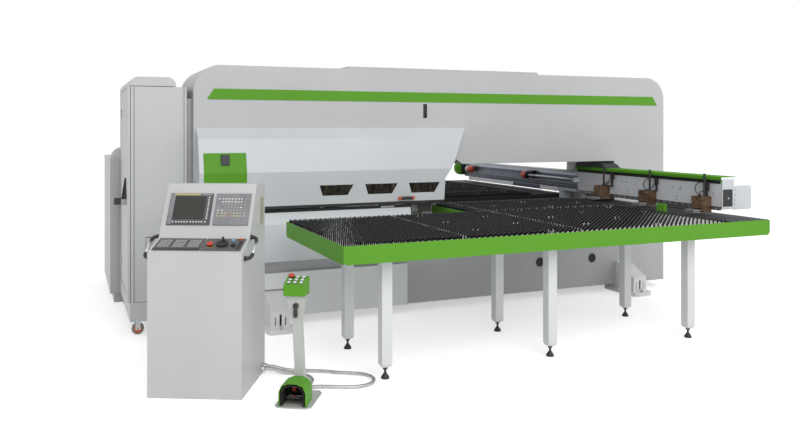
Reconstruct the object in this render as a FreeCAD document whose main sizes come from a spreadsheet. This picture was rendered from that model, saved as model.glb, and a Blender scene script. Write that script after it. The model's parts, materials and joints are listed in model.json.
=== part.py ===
"""CNC turret punch press with cabinets, operator console and pedal stand.

All sizes are millimetres. The machine's own grid starts at the left front lower
edge of the frame: x runs to the right along the frame, y to the back, z up from
the floor. Every finished sub-part is moved by datum_x and datum_y, so that the
origin lies on the floor below the middle of the whole machine.
"""
import FreeCAD, Part
import math
import os
import re
import Sketcher

V = FreeCAD.Vector

SIZES = {
    # place of the origin in the machine's grid
    "datum_x": 2310,
    "datum_y": 667,
    # gap between pieces that move, and round shafts in their bores
    "run_gap": 0.3,
    "bearing_gap": 0.08,
    # frame
    "frame_length": 5240,
    "frame_depth": 900,
    "frame_base": 75,
    "frame_top": 2362,
    "frame_round": 240,
    "frame_plate": 40,
    "frame_web": 30,
    "throat_left": 760,
    "throat_right": 4550,
    "throat_floor": 860,
    "throat_roof": 1435,
    "pocket_roof": 1520,
    "pocket_end": 2530,
    "chamfer_end": 2660,
    "lift_hole_radius": 50,
    "lift_hole_height": 380,
    "lift_hole_near": 3580,
    "lift_hole_far": 4250,
    "sight_slot_x": 2222,
    "sight_slot_z": 1897,
    "sight_slot_width": 42,
    "sight_slot_height": 139,
    "crown_left": 1455,
    "crown_right": 3610,
    "crown_inset": 80,
    "crown_height": 30,
    "stripe_left": 115,
    "stripe_right": 5144,
    "stripe_base": 2053,
    "stripe_height": 97,
    "stripe_slant": 63,
    "stripe_sheet": 3,
    # bracket feet
    "foot_left": 705,
    "foot_right": 4650,
    "foot_width": 170,
    "foot_reach": 300,
    "foot_top": 330,
    "foot_nose": 190,
    "foot_sheet": 12,
    "sole_width": 250,
    "sole_reach": 370,
    "sole_under": 140,
    "sole_height": 40,
    "anchor_radius": 11,
    "anchor_reach": 335,
    # upper cover
    "cover_top": 1800,
    "cover_fold_high": 1700,
    "cover_fold_low": 1405,
    "cover_bottom": 1100,
    "cover_out_high": 120,
    "cover_out_low": 200,
    "cover_out_bottom": 165,
    "cover_left": 22,
    "cover_right_top": 2690,
    "cover_right_high": 2585,
    "cover_right_mid": 2480,
    "cover_right_low": 2372,
    "cover_edge_mid": 1475,
    "cover_edge_low": 1310,
    "cover_sheet": 4,
    "window_first": 1261,
    "window_pitch": 444.5,
    "window_top": 1275,
    "window_bottom": 1178,
    "window_half_top": 165,
    "window_half_bottom": 121,
    "window_shift": 11,
    "pane_lap": 14,
    "pane_thickness": 3,
    "grip_x": 1880,
    "grip_length": 160,
    "grip_z": 1130,
    "grip_radius": 14,
    "grip_standoff": 22,
    # green hatch
    "hatch_left": 60,
    "hatch_right": 430,
    "hatch_bottom": 1320,
    "hatch_top": 1580,
    "hatch_lap": 18,
    "hatch_sheet": 3,
    "hatch_knuckle": 5,
    "latch_width": 75,
    "latch_height": 91,
    "latch_drop": 14,
    "latch_depth": 12,
    # lower cover and base panel
    "lower_top": 1036,
    "lower_fold": 930,
    "lower_bottom": 597,
    "lower_right": 2030,
    "lower_out": 150,
    "lower_out_top": 125,
    "base_out": 50,
    "base_bottom": 80,
    "base_top": 480,
    "guard_lower_top": 1062,
    "guard_upper_bottom": 1074,
    "guard_thickness": 8,
    "guard_block_left": 2035,
    "guard_block_right": 2257,
    "guard_block_bottom": 985,
    # turrets and ram
    "turret_x": 1750,
    "turret_y": 450,
    "turret_radius": 440,
    "tool_circle": 360,
    "tool_radius": 32,
    "tool_count": 20,
    "turret_shaft": 90,
    "shaft_depth": 120,
    "lower_disc_bottom": 905,
    "lower_disc_top": 1000,
    "die_top": 1030,
    "tool_tip": 1105,
    "upper_disc_bottom": 1150,
    "upper_disc_top": 1300,
    "tool_head": 1395,
    "ram_radius": 38,
    "ram_travel": 37,
    "ram_length": 200,
    # rear cover
    "rear_left": 700,
    "rear_right": 2430,
    "rear_bottom": 780,
    "rear_top": 1580,
    "rear_out": 110,
    # tables
    "table_left": 687,
    "table_right": 4571,
    "table_near": -2060,
    "table_back": -564,
    "rear_front": 1464,
    "rear_back": 3526,
    "notch_left": 2444,
    "centre_back": 270,
    "rear_centre_front": 912,
    "table_top": 1005,
    "rim_height": 128,
    "rim_sheet": 6,
    "rim_corner": 22,
    "tray_floor": 955,
    "support_width": 120,
    "support_depth": 60,
    "brush_top": 1028,
    "brush_pitch": 50,
    "brush_width": 26,
    "brush_base": 5,
    "brush_right": 4120,
    "slide_left": 4126,
    "slide_top": 1006,
    "slide_sheet": 6,
    "slide_vent": 40,
    "module_first": 1660,
    "module_pitch": 1020,
    "module_gap": 8,
    # legs and levelling feet
    "leg_first": 1087,
    "leg_pitch": 1403,
    "leg_front_near": -1810,
    "leg_front_far": -990,
    "leg_rear_near": 1960,
    "leg_rear_far": 3100,
    "leg_width": 80,
    "leg_wall": 4,
    "leg_bottom": 80,
    "leg_round": 26,
    "screw_foot_radius": 30,
    "screw_dome": 38,
    "screw_radius": 9,
    # sheet feed
    "rail_near": 350,
    "rail_far": 800,
    "rail_left": 2560,
    "rail_pad_width": 80,
    "rail_pad_height": 70,
    "rail_width": 30,
    "rail_height": 30,
    "beam_left": 4400,
    "beam_width": 130,
    "beam_bottom": 1090,
    "beam_height": 210,
    "beam_near": -1700,
    "beam_far": 3268,
    "beam_wall": 8,
    "cap_reach": 148,
    "cap_radius": 101,
    "cap_depth": 60,
    "saddle_left": 4396,
    "saddle_right": 4538,
    "saddle_near": 296,
    "saddle_far": 856,
    "saddle_sheet": 30,
    "chord_height": 48,
    "guide_height": 25,
    "guide_depth": 11,
    "guide_low": 1125,
    "guide_high": 1250,
    "plate_near": -1695,
    "plate_far": 440,
    "plate_thickness": 9,
    "plate_top": 1300,
    "lid_left": 4340,
    "lid_right": 4545,
    "lid_bottom": 1355,
    "lid_sheet": 5,
    "lid_lip": 24,
    "hood_near": -123,
    "hood_top": 1425,
    "hood_inset": 8,
    "clamp_rail_left": 4362,
    "clamp_rail_bottom": 1058,
    "clamp_near": -1517,
    "clamp_pitch": 725,
    "clamp_width": 145,
    "clamp_left": 4274,
    "clamp_bottom": 1032,
    "clamp_top": 1175,
    "anvil_left": 4176,
    "anvil_height": 8,
    "jaw_width": 110,
    "jaw_lift": 6,
    "jaw_thickness": 12,
    "jaw_pivot_x": 4298,
    "jaw_barrel": 11,
    "jaw_pin": 4,
    "clamp_rod_radius": 9,
    "clamp_rod_top": 1384,
    "clamp_rod_shift": 50,
    "bumper_radius": 46,
    "bumper_length": 80,
    "bumper_y": 2990,
    "bumper_z": 1205,
    "stop_rod_radius": 17,
    "stop_rod_length": 1040,
    "end_depth": 15,
    "end_bottom": 1068,
    "end_top": 1337,
    "end_flag_right": 4728,
    "end_flag_bottom": 1062,
    "end_flag_top": 1277,
    "end_window_low": 1092,
    "end_window_high": 1246,
    # electrical cabinet
    "cabinet_left": -524,
    "cabinet_right": -48,
    "cabinet_front": 50,
    "cabinet_back": 1450,
    "cabinet_bottom": 130,
    "plinth_top": 297,
    "cabinet_top": 2158,
    "cabinet_sheet": 4,
    "cap_gap": 5,
    "cap_top": 2243,
    "cap_left": -528,
    "cap_right": -140,
    "cap_round": 74,
    "post_proud": 21,
    "post_depth": 60,
    "edge_width": 34,
    "duct_front": 110,
    "duct_depth": 60,
    "duct_top": 2060,
    "door_near": 395,
    "door_far": 1145,
    "door_bottom": 320,
    "door_top": 2130,
    "door_sheet": 3,
    "door_lap": 16,
    "handle_y": 440,
    "handle_z": 1104,
    "handle_length": 245,
    "handle_width": 34,
    "handle_depth": 22,
    "louvre_left": -392,
    "louvre_width": 210,
    "louvre_bottom": 720,
    "louvre_pitch": 22,
    "louvre_count": 6,
    "caster_radius": 52,
    "caster_width": 34,
    "caster_fork": 5,
    "caster_inset_x": 70,
    "caster_inset_y": 95,
    "axle_radius": 6,
    # second cabinet
    "aux_left": -620,
    "aux_right": -60,
    "aux_front": 1500,
    "aux_back": 2900,
    "aux_bottom": 100,
    "aux_top": 1480,
    "fan_x": -490,
    "fan_y": 1700,
    "fan_radius": 120,
    # operator console, in its own grid
    "console_x": -526.5,
    "console_y": -1571,
    "console_turn": -26.5,
    "console_width": 640,
    "console_depth": 650,
    "desk_front": 972,
    "desk_back": 1038,
    "desk_depth": 207,
    "screen_top": 1399,
    "screen_back": 408,
    "console_top": 1390,
    "console_sheet": 4,
    "unit_height": 239,
    "unit_start": 95,
    "unit_gap": 23,
    "lcd_left": 37,
    "lcd_width": 306,
    "lcd_bezel": 10,
    "key_width": 249,
    "panel_start": 26,
    "panel_height": 180,
    "panel_left": 18,
    "panel_split": 352,
    "panel_thickness": 5,
    "stop_x": 402,
    "stop_along": 88,
    "stop_radius": 20,
    "stop_stem": 12,
    "wheel_x": 482,
    "wheel_along": 104,
    "wheel_radius": 40,
    "wheel_shaft": 10,
    "push_travel": 5,
    "bar_low_y": 62,
    "bar_low_z": 925,
    "bar_rise_y": 170,
    "bar_rise_z": 120,
    "bar_radius": 8,
    "bar_standoff": 48,
    "post_radius": 17,
    "gland_first": 540,
    "gland_pitch": 62,
    "gland_height": 42,
    "gland_length": 26,
    "gland_radius": 20,
    # pedal stand, in its own grid
    "stand_x": 202,
    "stand_y": -2081,
    "stand_turn": -31,
    "stand_width": 246,
    "stand_depth": 345,
    "stand_sheet": 8,
    "stand_corner": 30,
    "post_x": 130,
    "post_y": 210,
    "post_width": 60,
    "post_lean": 34,
    "bracket_bottom": 540,
    "bracket_top": 688,
    "bracket_half": 66,
    "box_width": 148,
    "box_depth": 118,
    "box_front": 74,
    "box_back": 114,
    "button_radius": 11,
    "button_pitch": 40,
    "shroud_left": 33,
    "shroud_width": 180,
    "shroud_front": 8,
    "shroud_depth": 160,
    "shroud_height": 150,
    "shroud_crown": 56,
    "shroud_sheet": 4,
    "treadle_width": 96,
    "treadle_length": 118,
    "treadle_pivot_y": 150,
    "treadle_pivot_z": 36,
    "treadle_sheet": 6,
    "treadle_pin": 4,
    "treadle_rise": 24,
    "lever_z": 622,
    "lever_length": 72,
    "lever_radius": 15,
    "conduit_radius": 13,
}

doc = FreeCAD.newDocument("TurretPunchPress")
sheet = doc.addObject("Spreadsheet::Sheet", "Sizes")
for row, (alias, size) in enumerate(SIZES.items(), start=1):
    sheet.set(f"A{row}", alias)
    sheet.set(f"B{row}", str(size))
    sheet.setAlias(f"B{row}", alias)
doc.recompute()

WORD = re.compile(r"[a-z][a-z_]*")
ORIGINS = {
    "machine": ("-datum_x", "-datum_y", None),
    "console": ("console_x - datum_x", "console_y - datum_y", "console_turn"),
    "stand": ("stand_x - datum_x", "stand_y - datum_y", "stand_turn"),
}
nodes = []


# ---- helpers: every size is a formula of the sheet's cells ----

def size(alias):
    """Read one cell of the sheet as a number."""
    return float(sheet.get(alias))


def formula(text):
    """Write a formula of aliases as an expression on the sheet."""
    return WORD.sub(lambda hit: f"Sizes.{hit[0]}" if hit[0] in SIZES else hit[0], str(text))


def bind(item, prop, text):
    item.setExpression(prop, formula(text))


def move_to(item, x, y, z):
    bind(item, "Placement.Base.x", x)
    bind(item, "Placement.Base.y", y)
    bind(item, "Placement.Base.z", z)
    return item


def box(name, x, y, z, length, width, height):
    """A block from its lowest corner and its three sides."""
    item = doc.addObject("Part::Box", name)
    bind(item, "Length", length)
    bind(item, "Width", width)
    bind(item, "Height", height)
    return move_to(item, x, y, z)


TURN_TO = {
    "X": FreeCAD.Rotation(V(0, 1, 0), 90),
    "Y": FreeCAD.Rotation(V(1, 0, 0), -90),
    "Z": FreeCAD.Rotation(),
}


def rod(name, axis, x, y, z, radius, length):
    """A cylinder from the middle of its first end, along one axis."""
    item = doc.addObject("Part::Cylinder", name)
    item.Placement.Rotation = TURN_TO[axis]
    bind(item, "Radius", radius)
    bind(item, "Height", length)
    return move_to(item, x, y, z)


PLANES = {
    "XY": (FreeCAD.Rotation(), V(0, 0, 1), "z"),
    "XZ": (FreeCAD.Rotation(V(1, 0, 0), 90), V(0, 1, 0), "y"),
    "YZ": (FreeCAD.Rotation(V(1, 1, 1), 120), V(1, 0, 0), "x"),
}


def outline(name, plane, corners):
    """A closed sketch whose corners are formulas of the sheet."""
    sketch = doc.addObject("Sketcher::SketchObject", name + "_sketch")
    sketch.Placement.Rotation = PLANES[plane][0]
    count = len(corners)
    turns = [2 * math.pi * index / count for index in range(count)]
    spots = [(1000 * math.cos(turn), 1000 * math.sin(turn)) for turn in turns]
    for index, spot in enumerate(spots):
        after = spots[(index + 1) % count]
        sketch.addGeometry(Part.LineSegment(V(*spot, 0), V(*after, 0)), False)
    for index in range(count):
        sketch.addConstraint(
            Sketcher.Constraint("Coincident", index, 2, (index + 1) % count, 1))
    for index, corner in enumerate(corners):
        for kind, spot, text in zip(("DistanceX", "DistanceY"), spots[index], corner):
            rule = sketch.addConstraint(Sketcher.Constraint(kind, -1, 1, index, 1, spot))
            bind(sketch, f"Constraints[{rule}]", text)
    return sketch


def prism(name, plane, corners, start, depth):
    """A closed outline in a plane, pushed along the third axis from start."""
    sketch = outline(name, plane, corners)
    direction, letter = PLANES[plane][1:]
    bind(sketch, f"Placement.Base.{letter}", start)
    item = doc.addObject("Part::Extrusion", name)
    item.Base = sketch
    item.DirMode = "Custom"
    item.Dir = direction
    item.Solid = True
    bind(item, "LengthFwd", depth)
    return item


def union(name, *items):
    item = doc.addObject("Part::MultiFuse", name)
    item.Shapes = list(items)
    item.Refine = True
    return item


def minus(name, base, *tools):
    item = doc.addObject("Part::Cut", name)
    item.Base = base
    item.Tool = tools[0] if len(tools) == 1 else union(name + "_cutters", *tools)
    return item


def common(name, first, second):
    item = doc.addObject("Part::MultiCommon", name)
    item.Shapes = [first, second]
    return item


def group(name, items):
    item = doc.addObject("Part::Compound", name)
    item.Links = list(items)
    return item


def computed(name, shape):
    """A shape that a short formula makes, such as rows of bristle."""
    item = doc.addObject("Part::Feature", name)
    item.Shape = shape
    return item


def node(label, item, origin="machine"):
    """Give a finished sub-part its name and its place."""
    if item.TypeId in ("Part::Box", "Part::Cylinder"):
        item = group(label + "_seat", [item])
    x, y, turn = ORIGINS[origin]
    bind(item, "Placement.Base.x", x)
    bind(item, "Placement.Base.y", y)
    if turn:
        bind(item, "Placement.Rotation.Angle", turn)
    item.Label = label
    nodes.append(item)
    return item


def ring_of_rods(name, x, y, z, circle, radius, length, count):
    """Rods on a circle, the first one to the right of the centre."""
    rods = []
    for index in range(count):
        angle = index * 360 / count
        rods.append(rod(f"{name}_{index + 1}", "Z", f"{x} + {circle} * cos({angle} deg)",
                        f"{y} + {circle} * sin({angle} deg)", z, radius, length))
    return rods


# ---- frame ----

def crowned_slab(name, inset, wall):
    """The frame's block with two round top corners, moved in by inset and wall."""
    low = f"frame_base + {inset}"
    shoulder = f"frame_top - frame_round - ({low})"
    side = f"frame_length - 2 * {inset}"
    depth = f"frame_depth - 2 * {wall}"
    body = box(name + "_body", inset, wall, low, side, depth, shoulder)
    crown = box(name + "_crown", "frame_round", wall, low,
                "frame_length - 2 * frame_round", depth, f"frame_top - {inset} - ({low})")
    corners = [
        rod(name + "_corner_left", "Y", "frame_round", wall, "frame_top - frame_round",
            f"frame_round - {inset}", depth),
        rod(name + "_corner_right", "Y", "frame_length - frame_round", wall,
            "frame_top - frame_round", f"frame_round - {inset}", depth),
    ]
    return union(name, body, crown, *corners)


def throat(name, grow, start, depth):
    """The opening through the frame, grown by the thickness of its lining."""
    return prism(name, "XZ", [
        (f"throat_left - {grow}", f"throat_floor - {grow}"),
        (f"throat_right + {grow}", f"throat_floor - {grow}"),
        (f"throat_right + {grow}", f"throat_roof + {grow}"),
        ("chamfer_end", f"throat_roof + {grow}"),
        ("pocket_end", f"pocket_roof + {grow}"),
        (f"throat_left - {grow}", f"pocket_roof + {grow}"),
    ], start, depth)


def main_frame():
    """Hollow plate box with the throat, bearing seats and the two bar holes."""
    block = crowned_slab("frame_block", "0", "0")
    opening = throat("throat_opening", "0", "-10", "frame_depth + 20")
    hollow_block = crowned_slab("hollow_block", "frame_web", "frame_plate")
    lining = throat("throat_lining", "frame_web", "-10", "frame_depth + 20")
    hollow = minus("frame_hollow", hollow_block, lining)
    seats = [
        rod("lower_seat", "Z", "turret_x", "turret_y", "throat_floor - frame_web - 1",
            "turret_shaft + bearing_gap", "frame_web + 2"),
        rod("upper_seat", "Z", "turret_x", "turret_y", "pocket_roof - 1",
            "turret_shaft + bearing_gap", "frame_web + 2"),
        rod("ram_seat", "Z", "turret_x + tool_circle", "turret_y", "pocket_roof - 1",
            "ram_radius + bearing_gap", "frame_web + 2"),
        rod("bar_hole_near", "Y", "lift_hole_near", "-1", "lift_hole_height",
            "lift_hole_radius", "frame_plate + 2"),
        rod("bar_hole_far", "Y", "lift_hole_far", "-1", "lift_hole_height",
            "lift_hole_radius", "frame_plate + 2"),
        box("sight_slot", "sight_slot_x", "-1", "sight_slot_z", "sight_slot_width",
            "frame_plate + 2", "sight_slot_height"),
    ]
    return node("main_frame", minus("frame", block, opening, hollow, *seats))


def frame_trim():
    """Crown plate and green strip."""
    node("frame_top_cover", prism("crown_plate", "XZ", [
        ("crown_left", "frame_top"),
        ("crown_right", "frame_top"),
        ("crown_right - crown_height / 3", "frame_top + crown_height"),
        ("crown_left + crown_height / 3", "frame_top + crown_height"),
    ], "crown_inset", "frame_depth - 2 * crown_inset"))
    node("stripe_panel", prism("stripe", "XZ", [
        ("stripe_left", "stripe_base"),
        ("stripe_right", "stripe_base"),
        ("stripe_right - stripe_slant", "stripe_base + stripe_height"),
        ("stripe_left + stripe_slant", "stripe_base + stripe_height"),
    ], "-stripe_sheet", "stripe_sheet"))


def foot(name, x, back):
    """Welded bracket with a sloped face, three slots and an anchored sole."""
    out = (lambda reach: f"frame_depth + ({reach})") if back else (lambda reach: f"-({reach})")
    half = "foot_width / 2"
    shell = prism(name + "_bracket", "YZ", [
        (out("0"), "sole_height"),
        (out("0"), "foot_top"),
        (out("foot_sheet * 2"), "foot_top"),
        (out("foot_reach"), "foot_nose"),
        (out("foot_reach"), "sole_height"),
    ], f"{x} - {half}", "foot_width")
    inside = prism(name + "_inside", "YZ", [
        (out("-1"), "sole_height"),
        (out("-1"), "foot_top - foot_sheet"),
        (out("foot_sheet * 2"), "foot_top - foot_sheet"),
        (out("foot_reach - foot_sheet"), "foot_nose - foot_sheet"),
        (out("foot_reach - foot_sheet"), "sole_height"),
    ], f"{x} - {half} + foot_sheet", "foot_width - 2 * foot_sheet")
    slots = []
    for index, (shift, width, height) in enumerate(((-46, 9, 72), (0, 20, 96), (46, 9, 72))):
        slots.append(prism(f"{name}_slot_{index + 1}", "YZ", [
            (out("foot_reach - 2 * foot_sheet"), "sole_height + 22"),
            (out("foot_reach + 2"), "sole_height + 22"),
            (out("foot_reach + 2"), f"sole_height + 22 + {height}"),
            (out("foot_reach - 2 * foot_sheet"), f"sole_height + 22 + {height}"),
        ], f"{x} + {shift} - {width} / 2", width))
    bracket = minus(name + "_box", shell, inside, *slots)
    wide = "sole_width / 2"
    sole = prism(name + "_sole", "XY", [
        (f"{x} - {wide}", out("-sole_under")),
        (f"{x} + {wide}", out("-sole_under")),
        (f"{x} + {wide}", out("sole_reach - 60")),
        (f"{x} + {wide} - 18", out("sole_reach - 18")),
        (f"{x} + {wide} - 60", out("sole_reach")),
        (f"{x} - {wide} + 60", out("sole_reach")),
        (f"{x} - {wide} + 18", out("sole_reach - 18")),
        (f"{x} - {wide}", out("sole_reach - 60")),
    ], "0", "sole_height")
    pad = prism(name + "_pad", "XY", [
        (f"{x} - {half}", out("0")),
        (f"{x} + {half}", out("0")),
        (f"{x} + {half}", out("-sole_under")),
        (f"{x} - {half}", out("-sole_under")),
    ], "sole_height", "frame_base - sole_height")
    hole = rod(name + "_anchor", "Z", x, out("anchor_reach"), "-1", "anchor_radius",
               "sole_height + 2")
    return minus(name, union(name + "_weld", bracket, sole, pad), hole)


def frame_feet():
    feet = []
    for side in ("left", "right"):
        for back in (False, True):
            name = f"foot_{side}_{'rear' if back else 'front'}"
            feet.append(foot(name, f"foot_{side}", back))
    return node("frame_feet", group("feet_group", feet))


# ---- turret covers ----

def cover_line(shift):
    """Side outline of the upper cover's sheet, moved back by shift."""
    return [
        (f"-cover_out_bottom + {shift}", "cover_bottom"),
        (f"-cover_out_low + {shift}", "cover_fold_low"),
        (f"-cover_out_high + {shift}", "cover_fold_high"),
        (f"{shift}", "cover_top"),
    ]


def cover_front(inset, drop):
    """Front outline of the upper cover, moved in by inset."""
    return [
        (f"cover_left + {inset}", f"cover_bottom - {drop}"),
        (f"cover_right_low - {inset}", f"cover_bottom - {drop}"),
        (f"cover_right_low - {inset}", "cover_edge_low"),
        (f"cover_right_mid - {inset}", "cover_edge_mid"),
        (f"cover_right_high - {inset}", "cover_fold_high"),
        (f"cover_right_top - {inset}", "cover_top"),
        (f"cover_left + {inset}", "cover_top"),
    ]


def window(name, number, lap, start, depth):
    """One trapezoid, wider at its top, grown by lap."""
    middle = f"window_first + {number} * window_pitch"
    return prism(name, "XZ", [
        (f"{middle} - window_shift - window_half_bottom - {lap}", f"window_bottom - {lap}"),
        (f"{middle} - window_shift + window_half_bottom + {lap}", f"window_bottom - {lap}"),
        (f"{middle} + window_half_top + {lap}", f"window_top + {lap}"),
        (f"{middle} - window_half_top - {lap}", f"window_top + {lap}"),
    ], start, depth)


def grip():
    """Grip bar on two stand-offs below the third window."""
    y = "-cover_out_bottom - grip_standoff"
    posts = [
        rod(f"grip_post_{index}", "Y", f"grip_x + {share} * grip_length", y, "grip_z", 7,
            "grip_standoff + 1")
        for index, share in ((1, 0.15), (2, 0.85))
    ]
    bar = rod("grip_bar", "X", "grip_x", y, "grip_z", "grip_radius", "grip_length")
    return [bar, *posts]


def upper_cover():
    """Folded sheet box, open to the frame and at its lower edge."""
    skin_side = prism("cover_side", "YZ",
                      [("0", "cover_bottom"), *cover_line("0")],
                      "0", "cover_right_top")
    skin_front = prism("cover_face", "XZ", cover_front("0", "0"), "-2 * cover_out_low",
                       "2 * cover_out_low")
    room_line = cover_line("cover_sheet")
    room_side = prism("cover_room_side", "YZ", [
        ("3 * cover_sheet", "cover_bottom - 20"),
        ("-cover_out_bottom + cover_sheet", "cover_bottom - 20"),
        *room_line,
        ("3 * cover_sheet", "cover_top"),
    ], "0", "cover_right_top")
    room_front = prism("cover_room_face", "XZ", cover_front("cover_sheet", "20"),
                       "-2 * cover_out_low", "3 * cover_out_low")
    skin = common("cover_skin", skin_side, skin_front)
    room = common("cover_room", room_side, room_front)
    cuts = [window(f"window_cut_{number + 1}", number, "0", "-cover_out_low - 20", "cover_out_low")
            for number in range(3)]
    cuts.append(box("hatch_hole", "hatch_left + hatch_lap", "-cover_out_low - 20",
                    "hatch_bottom + hatch_lap", "hatch_right - hatch_left - 2 * hatch_lap",
                    "cover_out_low", "hatch_top - hatch_bottom - 2 * hatch_lap"))
    shell = minus("cover_shell", skin, room, *cuts)
    node("upper_cover", union("cover_weld", shell, *grip()))


def cover_windows():
    """Panes behind the three windows, flat on the inside of the sheet."""
    inner = cover_line("cover_sheet")[:2]
    slab = prism("pane_slab", "YZ", [
        inner[0],
        inner[1],
        ("-cover_out_low + cover_sheet + pane_thickness", "cover_fold_low"),
        ("-cover_out_bottom + cover_sheet + pane_thickness", "cover_bottom"),
    ], "0", "cover_right_top")
    panes = [common(f"pane_{number + 1}", slab,
                    window(f"pane_outline_{number + 1}", number, "pane_lap",
                           "-cover_out_low", "cover_out_low"))
             for number in range(3)]
    return node("cover_windows", group("pane_group", panes))


def slope_low(z):
    """Outer y of the upper cover's lower panel at height z."""
    return (f"(-cover_out_bottom - (cover_out_low - cover_out_bottom) * ({z} - cover_bottom)"
            " / (cover_fold_low - cover_bottom))")


def slope_high(z):
    """Outer y of the upper cover's middle panel at height z."""
    return (f"(-cover_out_low + (cover_out_low - cover_out_high) * ({z} - cover_fold_low)"
            " / (cover_fold_high - cover_fold_low))")


def hatch():
    """Folded green door with its hinge barrel, and the latch near its top."""
    def line(shift):
        return [
            (f"{slope_low('hatch_bottom')} - {shift}", "hatch_bottom"),
            (f"-cover_out_low - {shift}", "cover_fold_low"),
            (f"{slope_high('hatch_top')} - {shift}", "hatch_top"),
        ]
    near = line("run_gap")
    far = line("(run_gap + hatch_sheet)")
    plate = prism("hatch_plate", "YZ", [*near, *reversed(far)], "hatch_left",
                  "hatch_right - hatch_left")
    barrel = rod("hatch_barrel", "X", "hatch_left",
                 f"{slope_low('hatch_bottom')} - run_gap - hatch_knuckle",
                 "hatch_bottom", "hatch_knuckle", "hatch_right - hatch_left")
    middle = "(hatch_left + hatch_right) / 2"
    foot_z = "(hatch_top - latch_drop - latch_height)"
    head_z = "(hatch_top - latch_drop)"
    shift = "2 * run_gap + hatch_sheet"
    latch = prism("latch_body", "YZ", [
        (f"{slope_high(foot_z)} - ({shift})", foot_z),
        (f"{slope_high(head_z)} - ({shift})", head_z),
        (f"{slope_high(head_z)} - ({shift}) - latch_depth", head_z),
        (f"{slope_high(foot_z)} - ({shift}) - latch_depth", foot_z),
    ], f"{middle} - latch_width / 2", "latch_width")
    node("hatch_door", union("hatch_weld", plate, barrel))
    node("hatch_latch", latch)


def lower_covers():
    """Folded cover of the lower turret, base panel and the slot's black guard."""
    side = prism("lower_side", "YZ", [
        ("0", "lower_bottom"),
        ("-lower_out", "lower_bottom"),
        ("-lower_out", "lower_fold"),
        ("-lower_out_top", "lower_top"),
        ("0", "lower_top"),
    ], "0", "lower_right")
    room = prism("lower_room", "YZ", [
        ("1", "lower_bottom + cover_sheet"),
        ("-lower_out + cover_sheet", "lower_bottom + cover_sheet"),
        ("-lower_out + cover_sheet", "lower_fold"),
        ("-lower_out_top + cover_sheet", "lower_top - cover_sheet"),
        ("1", "lower_top - cover_sheet"),
    ], "cover_sheet", "lower_right - 2 * cover_sheet")
    node("lower_cover", minus("lower_shell", side, room))
    panel = box("base_block", "0", "-base_out", "base_bottom", "lower_right", "base_out",
                "base_top - base_bottom")
    panel_room = box("base_room", "cover_sheet", "-base_out + cover_sheet",
                     "base_bottom + cover_sheet", "lower_right - 2 * cover_sheet", "base_out",
                     "base_top - base_bottom - 2 * cover_sheet")
    foot_way = box("foot_way", "foot_left - foot_width / 2 - 3", "-base_out - 1",
                   "base_bottom - 1", "foot_width + 6", "base_out + 2",
                   "foot_top - base_bottom + 4")
    node("base_panel", minus("base_shell", panel, panel_room, foot_way))
    lower_y = "-lower_out_top + 2 * cover_sheet"
    lower_strip = box("guard_lower", "2 * cover_sheet", lower_y, "lower_top",
                      "guard_block_left + 20 - 2 * cover_sheet", "guard_thickness",
                      "guard_lower_top - lower_top")
    block = box("guard_block", "guard_block_left", lower_y, "guard_block_bottom",
                "guard_block_right - guard_block_left", "-(" + lower_y + ") - 10",
                "guard_lower_top - guard_block_bottom")
    upper_strip = box("guard_upper", "cover_left + 2 * cover_sheet",
                      "-cover_out_bottom + cover_sheet", "guard_upper_bottom",
                      "cover_right_low - cover_left - 4 * cover_sheet", "guard_thickness",
                      "cover_bottom + 20 - guard_upper_bottom")
    node("slot_guard", group("guard_group",
                             [union("guard_weld", lower_strip, block), upper_strip]))


def rear_cover():
    """Box guard behind the turrets, slotted for the sheet and open to the frame."""
    block = box("rear_block", "rear_left", "frame_depth", "rear_bottom",
                "rear_right - rear_left", "rear_out", "rear_top - rear_bottom")
    room = box("rear_room", "rear_left + cover_sheet", "frame_depth - 1",
               "rear_bottom + cover_sheet", "rear_right - rear_left - 2 * cover_sheet",
               "rear_out + 1 - cover_sheet", "rear_top - rear_bottom - 2 * cover_sheet")
    slot = box("rear_slot", "throat_left + 40", "frame_depth - 1", "lower_top",
               "rear_right - throat_left", "rear_out + 2", "cover_bottom - lower_top")
    node("rear_cover", minus("rear_shell", block, room, slot))


# ---- turrets and ram ----

def turrets():
    """Two tool discs on shafts in the frame, and the ram above the punch station."""
    seat = ("turret_x", "turret_y")
    low_parts = [
        rod("lower_disc", "Z", *seat, "lower_disc_bottom", "turret_radius",
            "lower_disc_top - lower_disc_bottom"),
        rod("lower_hub", "Z", *seat, "throat_floor + run_gap", "turret_shaft + 60",
            "lower_disc_bottom - throat_floor"),
        rod("lower_shaft", "Z", *seat, "throat_floor - shaft_depth", "turret_shaft",
            "shaft_depth + 20"),
        *ring_of_rods("die", *seat, "lower_disc_top - 1", "tool_circle", "tool_radius + 10",
                      "die_top - lower_disc_top + 1", int(size("tool_count"))),
    ]
    node("lower_turret", union("lower_turret_weld", *low_parts))
    high_parts = [
        rod("upper_disc", "Z", *seat, "upper_disc_bottom", "turret_radius",
            "upper_disc_top - upper_disc_bottom"),
        rod("upper_hub", "Z", *seat, "upper_disc_top", "turret_shaft + 60",
            "pocket_roof - run_gap - upper_disc_top"),
        rod("upper_shaft", "Z", *seat, "pocket_roof - 20", "turret_shaft",
            "shaft_depth + 20"),
        *ring_of_rods("punch", *seat, "tool_tip", "tool_circle", "tool_radius",
                      "tool_head - tool_tip", int(size("tool_count"))),
    ]
    node("upper_turret", union("upper_turret_weld", *high_parts))
    node("ram", rod("ram_rod", "Z", "turret_x + tool_circle", "turret_y",
                    "tool_head + ram_travel + 1", "ram_radius", "ram_length"))


# ---- tables ----

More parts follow.
